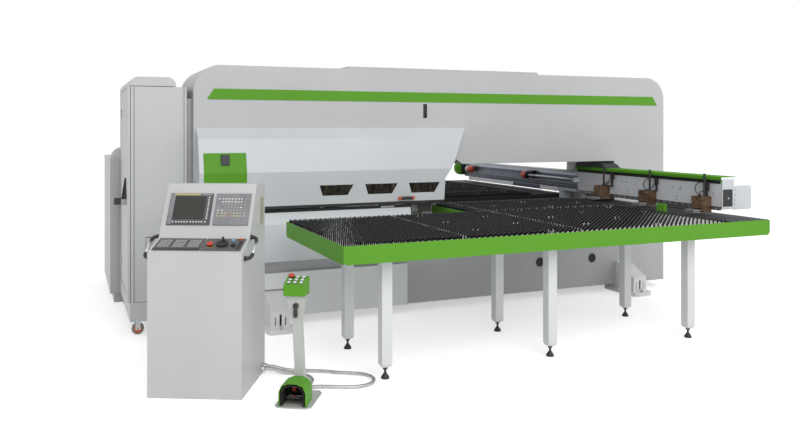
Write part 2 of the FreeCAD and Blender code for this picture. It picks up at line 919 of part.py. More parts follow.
def wall_along_x(name, x, y, length, corner):
    """Rim sheet along x with its lower corners cut by corner."""
    low = "table_top - rim_height"
    return prism(name, "XZ", [
        (x, f"{low} + {corner}"),
        (f"{x} + {corner}", low),
        (f"{x} + ({length}) - {corner}", low),
        (f"{x} + ({length})", f"{low} + {corner}"),
        (f"{x} + ({length})", "table_top"),
        (x, "table_top"),
    ], y, "rim_sheet")


def wall_along_y(name, x, y, length, corner):
    """Rim sheet along y with its lower corners cut by corner."""
    low = "table_top - rim_height"
    return prism(name, "YZ", [
        (y, f"{low} + {corner}"),
        (f"{y} + {corner}", low),
        (f"{y} + ({length}) - {corner}", low),
        (f"{y} + ({length})", f"{low} + {corner}"),
        (f"{y} + ({length})", "table_top"),
        (y, "table_top"),
    ], x, "rim_sheet")


def tray(label, outer, inner_edge, centre_edge, rear):
    """L-shaped tray: a wide part from outer to inner_edge, a narrow one to centre_edge."""
    low, high = (inner_edge, outer) if rear else (outer, inner_edge)
    centre_low, centre_high = (centre_edge, inner_edge) if rear else (inner_edge, centre_edge)
    edge = "throat_right - 6"
    span = "table_right - table_left"
    inner_y = inner_edge if rear else f"{inner_edge} - rim_sheet"
    centre_y = centre_edge if rear else f"{centre_edge} - rim_sheet"
    outer_y = f"{outer} - rim_sheet" if rear else outer
    depth = f"{high} - ({low})"
    centre_depth = f"{centre_high} - ({centre_low})"
    walls = [
        wall_along_x(label + "_outer_rim", "table_left", outer_y, span, "rim_corner"),
        wall_along_y(label + "_left_rim", "table_left", low, depth, "rim_corner"),
        wall_along_y(label + "_right_rim", "table_right - rim_sheet", low, depth, "rim_corner"),
        wall_along_x(label + "_inner_left", "table_left", inner_y,
                     "notch_left + rim_sheet - table_left", "rim_corner"),
        wall_along_x(label + "_inner_right", f"{edge} - rim_sheet", inner_y,
                     f"table_right - ({edge} - rim_sheet)", "1"),
        wall_along_y(label + "_notch_rim", "notch_left", centre_low, centre_depth, "1"),
        wall_along_y(label + "_throat_rim", f"{edge} - rim_sheet", centre_low, centre_depth, "1"),
        wall_along_x(label + "_centre_rim", "notch_left", centre_y, f"{edge} - notch_left", "1"),
        box(label + "_floor", "table_left", low, "tray_floor", span, depth, "rim_sheet"),
        box(label + "_centre_floor", "notch_left", centre_low, "tray_floor",
            f"{edge} - notch_left", centre_depth, "rim_sheet"),
    ]
    shelf_z = "slide_top - slide_sheet"
    web_height = f"{shelf_z} - tray_floor + 1"
    for name, start, run, end in (("slide", low, depth, "table_right - rim_sheet"),
                                  ("centre_slide", centre_low, centre_depth,
                                   f"{edge} - rim_sheet")):
        walls.append(box(f"{label}_{name}", "slide_left", f"{start} + rim_sheet - 1", shelf_z,
                         f"{end} + 1 - slide_left", f"{run} - 2 * rim_sheet + 2",
                         "slide_sheet"))
        walls.append(box(f"{label}_{name}_web", "slide_left",
                         f"{start} + rim_sheet + slide_vent", "tray_floor", "slide_sheet",
                         f"{run} - 2 * rim_sheet - 2 * slide_vent", web_height))
    for number, x in enumerate(("notch_left + 60", f"{edge} - 60 - support_width"), start=1):
        name = f"{label}_support_{number}"
        if rear:
            walls.append(box(name, x, "frame_depth", "throat_floor - support_depth",
                             "support_width", f"{centre_edge} + 30 - frame_depth",
                             "tray_floor - throat_floor + support_depth + 1"))
        else:
            walls.append(box(name, x, f"{centre_edge} - 20 - support_depth", "throat_floor",
                             "support_width", "support_depth", "tray_floor - throat_floor + 1"))
    return node(label, union(label + "_weld", *walls))


def bristle_block(left, right, near, far):
    """One brush module: a base strip with upright rows of bristle along y."""
    base = size("tray_floor") + size("rim_sheet")
    foot_z = base + size("brush_base")
    tip = size("brush_top")
    pitch = size("brush_pitch")
    half = size("brush_width") / 2
    rows = max(1, int((right - left) // pitch))
    margin = (right - left - (rows - 1) * pitch) / 2
    points = [V(left, near, base), V(left, near, foot_z)]
    for row in range(rows):
        x = left + margin + row * pitch
        points.append(V(x - half, near, foot_z))
        points.append(V(x - half * 0.6, near, tip))
        points.append(V(x + half * 0.6, near, tip))
        points.append(V(x + half, near, foot_z))
    points.append(V(right, near, foot_z))
    points.append(V(right, near, base))
    points.append(points[0])
    return Part.Face(Part.makePolygon(points)).extrude(V(0, far - near, 0))


def brushes(label, outer, inner_edge, centre_edge):
    """Brush modules that fill one tray, with narrow joints between them."""
    wall = size("rim_sheet")
    gap = size("module_gap") / 2
    right = size("brush_right")
    lines = [size("table_left") + wall]
    line = size("module_first")
    while line < right - size("module_pitch") / 3:
        lines.append(line)
        line += size("module_pitch")
    lines.append(right)
    forward = outer < inner_edge
    low, high = (outer + wall, inner_edge - wall) if forward else (inner_edge + wall, outer - wall)
    blocks = []
    for left, end in zip(lines, lines[1:]):
        blocks.append(bristle_block(left + gap, end - gap, low + gap, high - gap))
    start = size("notch_left") + wall
    lines = [start] + [spot for spot in lines if spot > start + gap * 2]
    if forward:
        low, high = inner_edge + gap, centre_edge - wall
    else:
        low, high = centre_edge + wall, inner_edge - gap
    for left, end in zip(lines, lines[1:]):
        blocks.append(bristle_block(left + gap, end - gap, low + gap, high - gap))
    return node(label, computed(label + "_rows", Part.makeCompound(blocks)))


def leg(name, x, y):
    """Square tube with a closed, rounded lower end."""
    half = "leg_width / 2"
    height = "tray_floor - leg_bottom"

    def side(middle):
        return [
            (f"{middle} - {half}", "leg_bottom + leg_round"),
            (f"{middle} - {half} + leg_round * 0.3", "leg_bottom + leg_round * 0.3"),
            (f"{middle} - {half} + leg_round", "leg_bottom"),
            (f"{middle} + {half} - leg_round", "leg_bottom"),
            (f"{middle} + {half} - leg_round * 0.3", "leg_bottom + leg_round * 0.3"),
            (f"{middle} + {half}", "leg_bottom + leg_round"),
            (f"{middle} + {half}", f"leg_bottom + {height}"),
            (f"{middle} - {half}", f"leg_bottom + {height}"),
        ]
    across = prism(name + "_across", "XZ", side(x), f"{y} - {half}", "leg_width")
    along = prism(name + "_along", "YZ", side(y), f"{x} - {half}", "leg_width")
    bore = box(name + "_bore", f"{x} - {half} + leg_wall", f"{y} - {half} + leg_wall",
               "leg_bottom + leg_round", "leg_width - 2 * leg_wall",
               "leg_width - 2 * leg_wall", height)
    return minus(name, common(name + "_block", across, along), bore)


def legs_and_feet():
    """Twelve legs on levelling feet with a domed pad and a screw."""
    tubes = []
    feet = []
    for line, y in enumerate(("leg_front_near", "leg_front_far", "leg_rear_near", "leg_rear_far")):
        for column in range(3):
            x = f"leg_first + {column} * leg_pitch"
            name = f"leg_{line + 1}_{column + 1}"
            tubes.append(leg(name, x, y))
            dome = doc.addObject("Part::Cone", name + "_dome")
            bind(dome, "Radius1", "screw_foot_radius")
            bind(dome, "Radius2", "screw_radius + 4")
            bind(dome, "Height", "screw_dome - 12")
            move_to(dome, x, y, "12")
            pad = rod(name + "_pad", "Z", x, y, "0", "screw_foot_radius", "12")
            nut = rod(name + "_nut", "Z", x, y, "leg_bottom - 12", "screw_radius + 9", "12")
            screw = rod(name + "_screw", "Z", x, y, "10", "screw_radius", "leg_bottom - 10")
            feet.append(union(name + "_foot", pad, dome, nut, screw))
    node("table_legs", group("leg_group", tubes))
    node("levelling_feet", group("foot_group", feet))


# ---- sheet feed ----

def rails():
    """Two rails on pads across the lower beam."""
    pieces = []
    for name in ("near", "far"):
        middle = f"rail_{name}"
        length = "throat_right - rail_left - 4"
        pad = box(f"pad_{name}", "rail_left", f"{middle} - rail_pad_width / 2", "throat_floor",
                  length, "rail_pad_width", "rail_pad_height")
        rail = box(f"rail_bar_{name}", "rail_left", f"{middle} - rail_width / 2",
                   "throat_floor + rail_pad_height", length, "rail_width", "rail_height")
        pieces.append(union(f"rail_{name}_weld", pad, rail))
    return node("y_rails", group("rail_group", pieces))


def bridge():
    """Box beam on its saddle, with guides, far cap, stop and near end housing."""
    length = "beam_far - beam_near"
    block = box("beam_block", "beam_left", "beam_near", "beam_bottom", "beam_width", length,
                "beam_height")
    hollow = box("beam_hollow", "beam_left + beam_wall", "beam_near - 1",
                 "beam_bottom + beam_wall", "beam_width - 2 * beam_wall", f"{length} + 2",
                 "beam_height - 2 * beam_wall")
    plate = box("saddle_plate", "saddle_left", "saddle_near", "beam_bottom - saddle_sheet",
                "saddle_right - saddle_left", "saddle_far - saddle_near", "saddle_sheet")
    rail_top = "throat_floor + rail_pad_height + rail_height"
    shoes = []
    for name in ("near", "far"):
        middle = f"rail_{name}"
        shoe = box(f"shoe_{name}", "saddle_left", f"{middle} - rail_width / 2 - 22",
                   f"{rail_top} - rail_height + 4", "saddle_right - saddle_left",
                   "rail_width + 44", f"beam_bottom - saddle_sheet - ({rail_top}) + rail_height - 4")
        slot = box(f"shoe_slot_{name}", "saddle_left - 1",
                   f"{middle} - rail_width / 2 - run_gap", f"{rail_top} - rail_height - 1",
                   "saddle_right - saddle_left + 2", "rail_width + 2 * run_gap",
                   "rail_height + 1 + run_gap")
        shoes.append(minus(f"shoe_cut_{name}", shoe, slot))
    flange = box("beam_flange", "saddle_left", "saddle_far", "beam_bottom - chord_height",
                 "beam_left + beam_width - saddle_left", "beam_far - 140 - saddle_far",
                 "chord_height")
    beam = union("beam_weld", minus("beam_tube", block, hollow), plate, *shoes, flange)
    node("x_beam", beam)
    guides = [
        box(f"guide_{name}", "beam_left - guide_depth", "beam_near + 10", f"guide_{name}",
            "guide_depth", f"{length} - 20", "guide_height")
        for name in ("low", "high")
    ]
    node("beam_rails", group("guide_group", guides))
    cap_x = "(beam_left - cap_reach + cap_radius)"
    cap_z = "(beam_bottom + beam_height / 2 + 14)"
    cap_end = rod("cap_end", "Y", cap_x, "beam_far", cap_z, "cap_radius", "cap_depth")
    cap_block = box("cap_block", cap_x, "beam_far", f"{cap_z} - cap_radius",
                    f"beam_left + beam_width - {cap_x}", "cap_depth", "2 * cap_radius")
    node("beam_end_cap", union("cap_weld", cap_end, cap_block))
    ear = box("bumper_ear", "beam_left - 12", "bumper_y", "guide_low + guide_height + 2", "12",
              "16", "guide_high - guide_low - guide_height - 4")
    arm = box("bumper_arm", "beam_left - 12 - 2 * bumper_radius", "bumper_y",
              "bumper_z - bumper_radius / 2", "2 * bumper_radius + 12", "16", "bumper_radius")
    rubber = rod("bumper_rubber", "Y", "beam_left - 20 - bumper_radius",
                 "bumper_y - bumper_length", "bumper_z", "bumper_radius", "bumper_length")
    node("beam_bumpers", union("bumper_weld", ear, arm, rubber))


def carriage_drive():
    """White end housing with a square window and a rounded flag plate."""
    wall = "beam_wall"
    near = "beam_near - end_depth"
    left = "beam_left - 20"
    block = box("end_block", left, near, "end_bottom", "beam_width + 10", "end_depth",
                "end_top - end_bottom")
    room = box("end_room", f"{left} + {wall}", f"{near} + {wall}", f"end_bottom + {wall}",
               f"beam_width + 10 - 2 * {wall}", "end_depth", f"end_top - end_bottom - 2 * {wall}")
    hole = box("end_window", f"{left} + {wall}", f"{near} - 1", "end_window_low",
               "beam_width - 14", f"{wall} + 2", "end_window_high - end_window_low")
    start = f"({left} + beam_width + 10)"
    flag = prism("end_flag", "XZ", [
        (f"{start} - 12", "end_flag_bottom"),
        ("end_flag_right - 20", "end_flag_bottom"),
        ("end_flag_right - 6", "end_flag_bottom + 6"),
        ("end_flag_right", "end_flag_bottom + 20"),
        ("end_flag_right", "end_flag_top - 20"),
        ("end_flag_right - 6", "end_flag_top - 6"),
        ("end_flag_right - 20", "end_flag_top"),
        (f"{start} - 12", "end_flag_top"),
    ], near, wall)
    node("carriage_drive", union("end_weld", minus("end_shell", block, room, hole), flag))


def carriage():
    """Bolted plate with bearing blocks, stop rod, green lid and clamp rail."""
    length = "plate_far - plate_near"
    face = "beam_left - guide_depth - 1 - plate_thickness"
    plate = box("plate_sheet", face, "plate_near", "beam_bottom", "plate_thickness", length,
                "plate_top - beam_bottom")
    parts = [plate]
    for number, y in enumerate(("plate_near + 60", "plate_far - 150")):
        for name in ("low", "high"):
            block = box(f"bearing_{name}_{number + 1}", "beam_left - guide_depth - 1.5", y,
                        f"guide_{name} - 18", "guide_depth + 1.5 - run_gap", "90",
                        "guide_height + 36")
            slot = box(f"bearing_slot_{name}_{number + 1}",
                       "beam_left - guide_depth - run_gap", f"{y} - 1", f"guide_{name} - run_gap",
                       "guide_depth + 2", "92", "guide_height + 2 * run_gap")
            parts.append(minus(f"bearing_cut_{name}_{number + 1}", block, slot))
    stop_x = "(beam_left - 20 - bumper_radius)"
    parts.append(box("stop_lug", f"{stop_x} - 25", "plate_far - 40", "bumper_z - 25",
                     f"({face}) - {stop_x} + 26", "40", "50"))
    parts.append(rod("stop_rod", "Y", stop_x, "plate_far - 1", "bumper_z", "stop_rod_radius",
                     "stop_rod_length"))
    parts.append(rod("stop_head", "Y", stop_x, "plate_far - 2 + stop_rod_length", "bumper_z",
                     "bumper_radius", "bumper_length"))
    node("carriage_plate", union("plate_weld", *parts))
    lid = box("lid_sheet", "lid_left", "plate_near - 20", "lid_bottom", "lid_right - lid_left",
              f"{length} + 20", "lid_sheet")
    lip = box("lid_lip", "lid_left", "plate_near - 20", "lid_bottom - lid_lip", "lid_sheet",
              f"{length} + 20", "lid_lip + 1")
    strip = box("lid_strip", face, "plate_near", "plate_top", "plate_thickness", length,
                "lid_bottom - plate_top + 1")
    base = "lid_bottom + lid_sheet - 1"
    hood = prism("cable_hood", "YZ", [
        ("hood_near", base),
        ("hood_near + 60", "hood_top - 26"),
        ("hood_near + 140", "hood_top - 6"),
        ("hood_near + 230", "hood_top"),
        ("plate_far - 110", "hood_top"),
        ("plate_far - 40", "hood_top - 12"),
        ("plate_far", "hood_top - 36"),
        ("plate_far", base),
    ], "lid_left + hood_inset", "lid_right - lid_left - 2 * hood_inset")
    node("carriage_cover", union("lid_weld", lid, lip, strip, hood))
    node("clamp_rail", box("clamp_rail_bar", "clamp_rail_left", "plate_near",
                           "clamp_rail_bottom",
                           f"({face}) + plate_thickness - clamp_rail_left", length,
                           "beam_bottom - clamp_rail_bottom"))


def workholder(number):
    """Bronze-coloured clamp block with its anvil, its rod and a hinged jaw."""
    middle = f"(clamp_near + {number - 1} * clamp_pitch)"
    half = "clamp_width / 2"
    face = "(beam_left - guide_depth - 1 - plate_thickness)"
    name = f"clamp_{number}"
    pivot_z = "(clamp_bottom + anvil_height + jaw_lift + jaw_thickness / 2)"
    block = box(name + "_block", "clamp_left", f"{middle} - {half}", "clamp_bottom",
                f"{face} - run_gap - clamp_left", "clamp_width", "clamp_top - clamp_bottom")
    anvil = box(name + "_anvil", "anvil_left", f"{middle} - jaw_width / 2", "clamp_bottom",
                "clamp_left - anvil_left + 2", "jaw_width", "anvil_height")
    rail_way = box(name + "_way", "clamp_rail_left - run_gap", f"{middle} - {half} - 1",
                   "clamp_rail_bottom - run_gap", "80", "clamp_width + 2",
                   "beam_bottom - clamp_rail_bottom + 2 * run_gap")
    pocket = box(name + "_pocket", "clamp_left - 1", f"{middle} - jaw_width / 2 - run_gap",
                 "clamp_bottom + anvil_height",
                 "jaw_pivot_x + jaw_barrel + 1 - clamp_left + 1", "jaw_width + 2 * run_gap",
                 f"{pivot_z} + jaw_barrel + 4 - clamp_bottom - anvil_height")
    pin_hole = rod(name + "_pin_hole", "Y", "jaw_pivot_x",
                   f"{middle} - jaw_width / 2 - 9", pivot_z, "jaw_pin + bearing_gap",
                   "jaw_width + 18")
    ram_rod = rod(name + "_rod", "Z", "(clamp_left + jaw_pivot_x) / 2 + 30",
                  f"{middle} - clamp_rod_shift", "clamp_top - 1", "clamp_rod_radius",
                  "clamp_rod_top - clamp_top + 1")
    body = minus(name + "_cut", union(name + "_solid", block, anvil, ram_rod),
                 rail_way, pocket, pin_hole)
    node(name, body)
    low = "(clamp_bottom + anvil_height + jaw_lift)"
    tongue = box(name + "_tongue", "anvil_left + 4", f"{middle} - jaw_width / 2", low,
                 "jaw_pivot_x - anvil_left - 4", "jaw_width", "jaw_thickness")
    barrel = rod(name + "_barrel", "Y", "jaw_pivot_x", f"{middle} - jaw_width / 2", pivot_z,
                 "jaw_thickness / 2 + 2.5", "jaw_width")
    pin = rod(name + "_pin", "Y", "jaw_pivot_x", f"{middle} - jaw_width / 2 - 8", pivot_z,
              "jaw_pin", "jaw_width + 16")
    node(f"clamp_jaw_{number}", union(name + "_jaw", tongue, barrel, pin))


# ---- cabinets ----

def cabinet():
    """Tall cabinet on casters with a louvre, a door, its handle and a roof cap."""
    width = "cabinet_right - cabinet_left"
    depth = "cabinet_back - cabinet_front"
    height = "cabinet_top - cabinet_bottom"
    block = box("cabinet_block", "cabinet_left", "cabinet_front", "cabinet_bottom", width,
                depth, height)
    room = box("cabinet_room", "cabinet_left + cabinet_sheet", "cabinet_front + cabinet_sheet",
               "plinth_top", f"{width} - 2 * cabinet_sheet", f"{depth} - 2 * cabinet_sheet",
               "cabinet_top - cabinet_sheet - plinth_top")
    doorway = box("cabinet_doorway", "cabinet_left - 1", "door_near + door_lap",
                  "door_bottom + door_lap", "cabinet_sheet + 2",
                  "door_far - door_near - 2 * door_lap", "door_top - door_bottom - 2 * door_lap")
    slats = []
    for index in range(int(size("louvre_count"))):
        z = f"louvre_bottom + {index} * louvre_pitch"
        slats.append(prism(f"slat_{index + 1}", "YZ", [
            ("cabinet_front + 1", z),
            ("cabinet_front - 12", z),
            ("cabinet_front + 1", f"{z} + louvre_pitch * 0.8"),
        ], "louvre_left", "louvre_width"))
    posts = [
        box("edge_post_1", "cabinet_left - post_proud", "cabinet_front - 8", "plinth_top",
            "post_proud + edge_width", "post_depth", "cabinet_top - plinth_top"),
        box("edge_post_2", "cabinet_right - edge_width", "cabinet_front - 8", "plinth_top",
            "edge_width", "9", "cabinet_top - plinth_top"),
    ]
    duct = box("cable_duct", "cabinet_right - 1", "duct_front", "plinth_top",
               "1 - cabinet_right", "duct_depth", "duct_top - plinth_top")
    shell = minus("cabinet_shell", block, room, doorway)
    node("cabinet_body", union("cabinet_weld", shell, *slats, *posts, duct))
    cap_low = "cabinet_top + cap_gap"
    cap_ends = [
        rod(f"cap_round_{side}", "Y", x, "cabinet_front", "cap_top - cap_round", "cap_round", depth)
        for side, x in (("left", "cap_left + cap_round"), ("right", "cap_right - cap_round"))
    ]
    cap_middle = box("cap_middle", "cap_left + cap_round", "cabinet_front", cap_low,
                     "cap_right - cap_left - 2 * cap_round", depth, f"cap_top - ({cap_low})")
    cap_space = box("cap_space", "cap_left", "cabinet_front", cap_low, "cap_right - cap_left",
                    depth, f"cap_top - ({cap_low})")
    cap = common("roof_cap", union("cap_rounds", *cap_ends, cap_middle), cap_space)
    neck = box("cap_neck", "cap_left + 18", "cabinet_front + 14", "cabinet_top",
               "cap_right - cap_left - 32", f"{depth} - 28", "cap_gap + 1")
    node("cabinet_caps", union("roof_weld", cap, neck))
    door = box("door_leaf", "cabinet_left - run_gap - door_sheet", "door_near", "door_bottom",
               "door_sheet", "door_far - door_near", "door_top - door_bottom")
    hinges = [
        rod(f"door_hinge_{number}", "Z", "cabinet_left - run_gap - door_sheet - 6",
            "door_far - 2", z, "8", "90")
        for number, z in ((1, "door_bottom + 140"), (2, "door_top - 230"))
    ]
    node("cabinet_door", union("door_weld", door, *hinges))
    face = "(cabinet_left - 2 * run_gap - door_sheet)"
    grip_x = f"{face} - 2 * handle_depth"
    base = box("handle_base", f"{face} - handle_depth", "handle_y - handle_width / 2",
               "handle_z", "handle_depth", "handle_width", "70")
    lever = box("handle_lever", grip_x, "handle_y - handle_width / 2", "handle_z",
                "handle_depth + 1", "handle_width", "handle_length")
    node("cabinet_handle", union("handle_weld", base, lever))


def second_cabinet():
    """Closed low cabinet behind, on a set-back plinth."""
    block = box("aux_block", "aux_left", "aux_front", "aux_bottom", "aux_right - aux_left",
                "aux_back - aux_front", "aux_top - aux_bottom")
    plinth = box("aux_plinth", "aux_left + 40", "aux_front + 40", "0",
                 "aux_right - aux_left - 80", "aux_back - aux_front - 80", "aux_bottom + 1")
    dome = doc.addObject("Part::Sphere", "fan_dome")
    dome.Angle1 = 0
    bind(dome, "Radius", "fan_radius")
    move_to(dome, "fan_x", "fan_y", "aux_top - 1")
    room = box("aux_room", "aux_left + cabinet_sheet", "aux_front + cabinet_sheet",
               "aux_bottom + cabinet_sheet", "aux_right - aux_left - 2 * cabinet_sheet",
               "aux_back - aux_front - 2 * cabinet_sheet",
               "aux_top - aux_bottom - 2 * cabinet_sheet")
    return node("aux_cabinet", minus("aux_shell", union("aux_weld", block, plinth, dome), room))


def casters():
    """Four fixed casters: forks under the plinth, each with its wheel."""
    forks = []
    spots = [(x, y) for y in ("cabinet_front + caster_inset_y", "cabinet_back - caster_inset_y")
             for x in ("cabinet_left + caster_inset_x", "cabinet_right - caster_inset_x")]
    for number, (x, y) in enumerate(spots, start=1):
        name = f"caster_{number}"
        inner = "(caster_width / 2 + 2)"
        cheeks = [
            box(f"{name}_cheek_{side}", f"{x} - 22", f"{y} {sign} {inner} {shift}",
                "caster_radius - 12", "44", "caster_fork", "cabinet_bottom - caster_radius + 12")
            for side, sign, shift in ((1, "+", ""), (2, "-", "- caster_fork"))
        ]
        top = box(name + "_top", f"{x} - 40", f"{y} - {inner} - caster_fork",
                  "cabinet_bottom - 8", "80", f"2 * ({inner} + caster_fork)", "8")
        fork = minus(name + "_fork", union(name + "_fork_weld", *cheeks, top),
                     rod(name + "_fork_hole", "Y", x, f"{y} - 60", "caster_radius",
                         "axle_radius + bearing_gap", "120"))
        forks.append(fork)
        tyre = rod(name + "_tyre", "Y", x, f"{y} - caster_width / 2", "caster_radius",
                   "caster_radius", "caster_width")
        axle = rod(name + "_axle", "Y", x, f"{y} - {inner} - caster_fork", "caster_radius",
                   "axle_radius", f"2 * ({inner} + caster_fork)")
        node(f"caster_wheel_{number}", union(name + "_wheel", tyre, axle))
    node("caster_forks", group("fork_group", forks))


# ---- operator console, in its own grid ----

def slope_angle(rise, run):
    return f"atan(({rise}) / ({run}))"


DESK = slope_angle("desk_back - desk_front", "desk_depth")
SCREEN = slope_angle("screen_top - desk_back", "screen_back - desk_depth")


def on_slope(item, slope, start_y, start_z, x, along, above):
    """Lay an upright item on a slope: along runs up the slope, above stands off it."""
    item.Placement.Rotation = FreeCAD.Rotation(V(1, 0, 0), 10)
    move_to(item, x,
            f"{start_y} + ({along}) * cos({slope}) - ({above}) * sin({slope})",
            f"{start_z} + ({along}) * sin({slope}) + ({above}) * cos({slope})")
    bind(item, "Placement.Rotation.Angle", slope)
    return item


def on_desk(item, x, along, above):
    return on_slope(item, DESK, "0", "desk_front", x, along, above)


def on_screen(item, x, along, above):
    return on_slope(item, SCREEN, "desk_depth", "desk_back", x, along, above)


def console():
    """Sheet-metal console with screen, keys, switches, stop button and grab bars."""
    def side(shift):
        return [
            (shift, shift),
            (shift, f"desk_front - {shift}"),
            (f"desk_depth + {shift} * 0.4", f"desk_back - {shift}"),
            (f"screen_back + {shift}", f"screen_top - {shift} * 1.2"),
            (f"console_depth - 32 - {shift}", f"console_top - {shift}"),
            (f"console_depth - {shift}", f"console_top - 28 - {shift}"),
            (f"console_depth - {shift}", shift),
        ]
    block = prism("console_block", "YZ", side("0"), "0", "console_width")
    room = prism("console_room", "YZ", side("console_sheet"), "console_sheet",
                 "console_width - 2 * console_sheet")
    glands = [
        rod(f"gland_{number + 1}", "X", "console_width - 1",
            f"gland_first + {number} * gland_pitch", "gland_height", "gland_radius",
            "gland_length + 1")
        for number in range(2)
    ]
    gland_bores = [
        rod(f"gland_bore_{number + 1}", "X", "console_width + 6",
            f"gland_first + {number} * gland_pitch", "gland_height", "conduit_radius + run_gap",
            "gland_length")
        for number in range(2)
    ]
    shell = minus("console_shell", block, room)
    body = minus("console_bored", union("console_weld", shell, *glands), *gland_bores)
    node("console_body", body, "console")

    bezel = on_screen(box("lcd_block", "0", "0", "0", "lcd_width", "unit_height", "lcd_bezel"),
                      "lcd_left", "unit_start", "0")
    glass = on_screen(box("lcd_recess", "0", "0", "0", "lcd_width - 86", "unit_height - 66", "8"),
                      "lcd_left + 36", "unit_start + 42", "lcd_bezel - 3")
    node("lcd_unit", minus("lcd_cut", bezel, glass), "console")

    key_left = "lcd_left + lcd_width + unit_gap"
    keypad = [on_screen(box("key_block", "0", "0", "0", "key_width", "unit_height", "lcd_bezel"),
                        key_left, "unit_start", "0")]
    for line in range(6):
        keypad.append(on_screen(
            box(f"key_row_{line + 1}", "0", "0", "0", "key_width - 44", "14", "4"),
            f"{key_left} + 22", f"unit_start + 60 + {line} * 24", "lcd_bezel - 1"))
    desk_keys = [on_desk(box("desk_key_block", "0", "0", "0", "panel_split - panel_left - 6",
                             "panel_height", "panel_thickness"),
                         "panel_left", "panel_start", "0")]
    for cluster in range(3):
        desk_keys.append(on_desk(
            box(f"desk_keys_{cluster + 1}", "0", "0", "0", "84", "112", "5"),
            f"panel_left + 20 + {cluster} * 102", "panel_start + 34", "panel_thickness - 1"))
    node("key_units", group("key_group", [union("keypad_weld", *keypad),
                                          union("desk_key_weld", *desk_keys)]), "console")

    plate = on_desk(box("switch_block", "0", "0", "0", "console_width - panel_split - panel_left",
                        "panel_height", "panel_thickness"),
                    "panel_split", "panel_start", "0")
    knob = on_desk(rod("switch_knob", "Z", "0", "0", "0", "13", "20"),
                   "panel_split + 210", "panel_start + 60", "panel_thickness - 1")
    collar = on_desk(rod("stop_collar", "Z", "0", "0", "0", "stop_radius + 10", "3"),
                     "stop_x", "stop_along", "panel_thickness - 0.5")
    bores = []
    for name, x, along, radius in (("stop", "stop_x", "stop_along", "stop_stem"),
                                   ("wheel", "wheel_x", "wheel_along", "wheel_shaft")):
        bores.append(on_desk(rod(f"{name}_bore", "Z", "0", "0", "0", f"{radius} + bearing_gap", "60"),
                             x, along, "0.5"))
    node("switch_panel", minus("switch_cut", union("switch_weld", plate, knob, collar), *bores),
         "console")

    head = on_desk(rod("stop_head_disc", "Z", "0", "0", "0", "stop_radius", "14"),
                   "stop_x", "stop_along", "panel_thickness + 2.5 + push_travel + run_gap")
    stem = on_desk(rod("stop_stem_rod", "Z", "0", "0", "0", "stop_stem",
                       "panel_thickness + push_travel"),
                   "stop_x", "stop_along", "push_travel + 1")
    node("e_stop", union("stop_weld", head, stem), "console")

    disc = on_desk(rod("wheel_disc", "Z", "0", "0", "0", "wheel_radius", "16"),
                   "wheel_x", "wheel_along", "panel_thickness + 6")
    shaft = on_desk(rod("wheel_shaft_rod", "Z", "0", "0", "0", "wheel_shaft",
                        "panel_thickness + 6"),
                    "wheel_x", "wheel_along", "1")
    crank = on_desk(rod("wheel_crank", "Z", "0", "0", "0", "7", "30"),
                    "wheel_x", "wheel_along + wheel_radius * 0.7", "panel_thickness + 20")
    node("handwheel", union("wheel_weld", disc, shaft, crank), "console")

    bars = []
    for name, start, sign in (("left", "0", "-"), ("right", "console_width", "+")):
        x = f"{start} {sign} bar_standoff"
        post_x = "-bar_standoff - post_radius * 0.4" if name == "left" else "console_width"
        posts = [
            rod(f"bar_post_{name}_{number}", "X", post_x, y, z, "post_radius",
                "bar_standoff + post_radius * 0.4")
            for number, y, z in ((1, "bar_low_y", "bar_low_z"),
                                 (2, "bar_low_y + bar_rise_y", "bar_low_z + bar_rise_z"))
        ]
        bar = doc.addObject("Part::Cylinder", f"bar_{name}")
        bar.Placement.Rotation = FreeCAD.Rotation(V(-1, 0, 0), 40)
        bind(bar, "Radius", "bar_radius")
        bind(bar, "Height", "sqrt(bar_rise_y ^ 2 + bar_rise_z ^ 2)")
        move_to(bar, x, "bar_low_y", "bar_low_z")
        bind(bar, "Placement.Rotation.Angle", "atan(bar_rise_y / bar_rise_z)")
        bars.append(union(f"bar_weld_{name}", *posts, bar))
    node("console_handles", group("bar_group", bars), "console")


# ---- pedal stand, in its own grid ----

def post_shift(z):
    """How far the leaning post has moved to the left at height z."""
    return f"post_lean * ({z}) / bracket_top"


def pedal_stand():
    """Sole plate, leaning square post and flared bracket under the button box."""
    sole = prism("stand_sole", "XY", [
        ("0", "stand_corner"),
        ("stand_corner", "0"),
        ("stand_width - stand_corner", "0"),
        ("stand_width", "stand_corner"),
        ("stand_width", "stand_depth - stand_corner"),
        ("stand_width - stand_corner", "stand_depth"),
        ("stand_corner", "stand_depth"),
        ("0", "stand_depth - stand_corner"),
    ], "0", "stand_sheet")
    half = "post_width / 2"
    low = "(stand_sheet - 1)"
    post = prism("stand_post", "XZ", [
        (f"post_x - {half} - {post_shift(low)}", low),
        (f"post_x + {half} - {post_shift(low)}", low),
        (f"post_x + {half} - {post_shift('bracket_top')}", "bracket_top"),
        (f"post_x - {half} - {post_shift('bracket_top')}", "bracket_top"),
    ], f"post_y - {half}", "post_width")
    bracket = prism("stand_bracket", "XZ", [
        (f"post_x - {half} - 2 - {post_shift('bracket_bottom')}", "bracket_bottom"),
        (f"post_x + {half} + 2 - {post_shift('bracket_bottom')}", "bracket_bottom"),
        (f"post_x + bracket_half - {post_shift('bracket_top')}", "bracket_top"),
        (f"post_x - bracket_half - {post_shift('bracket_top')}", "bracket_top"),
    ], f"post_y - {half} - 6", "post_width + 12")
    node("pedal_stand", union("stand_weld", sole, post, bracket), "stand")


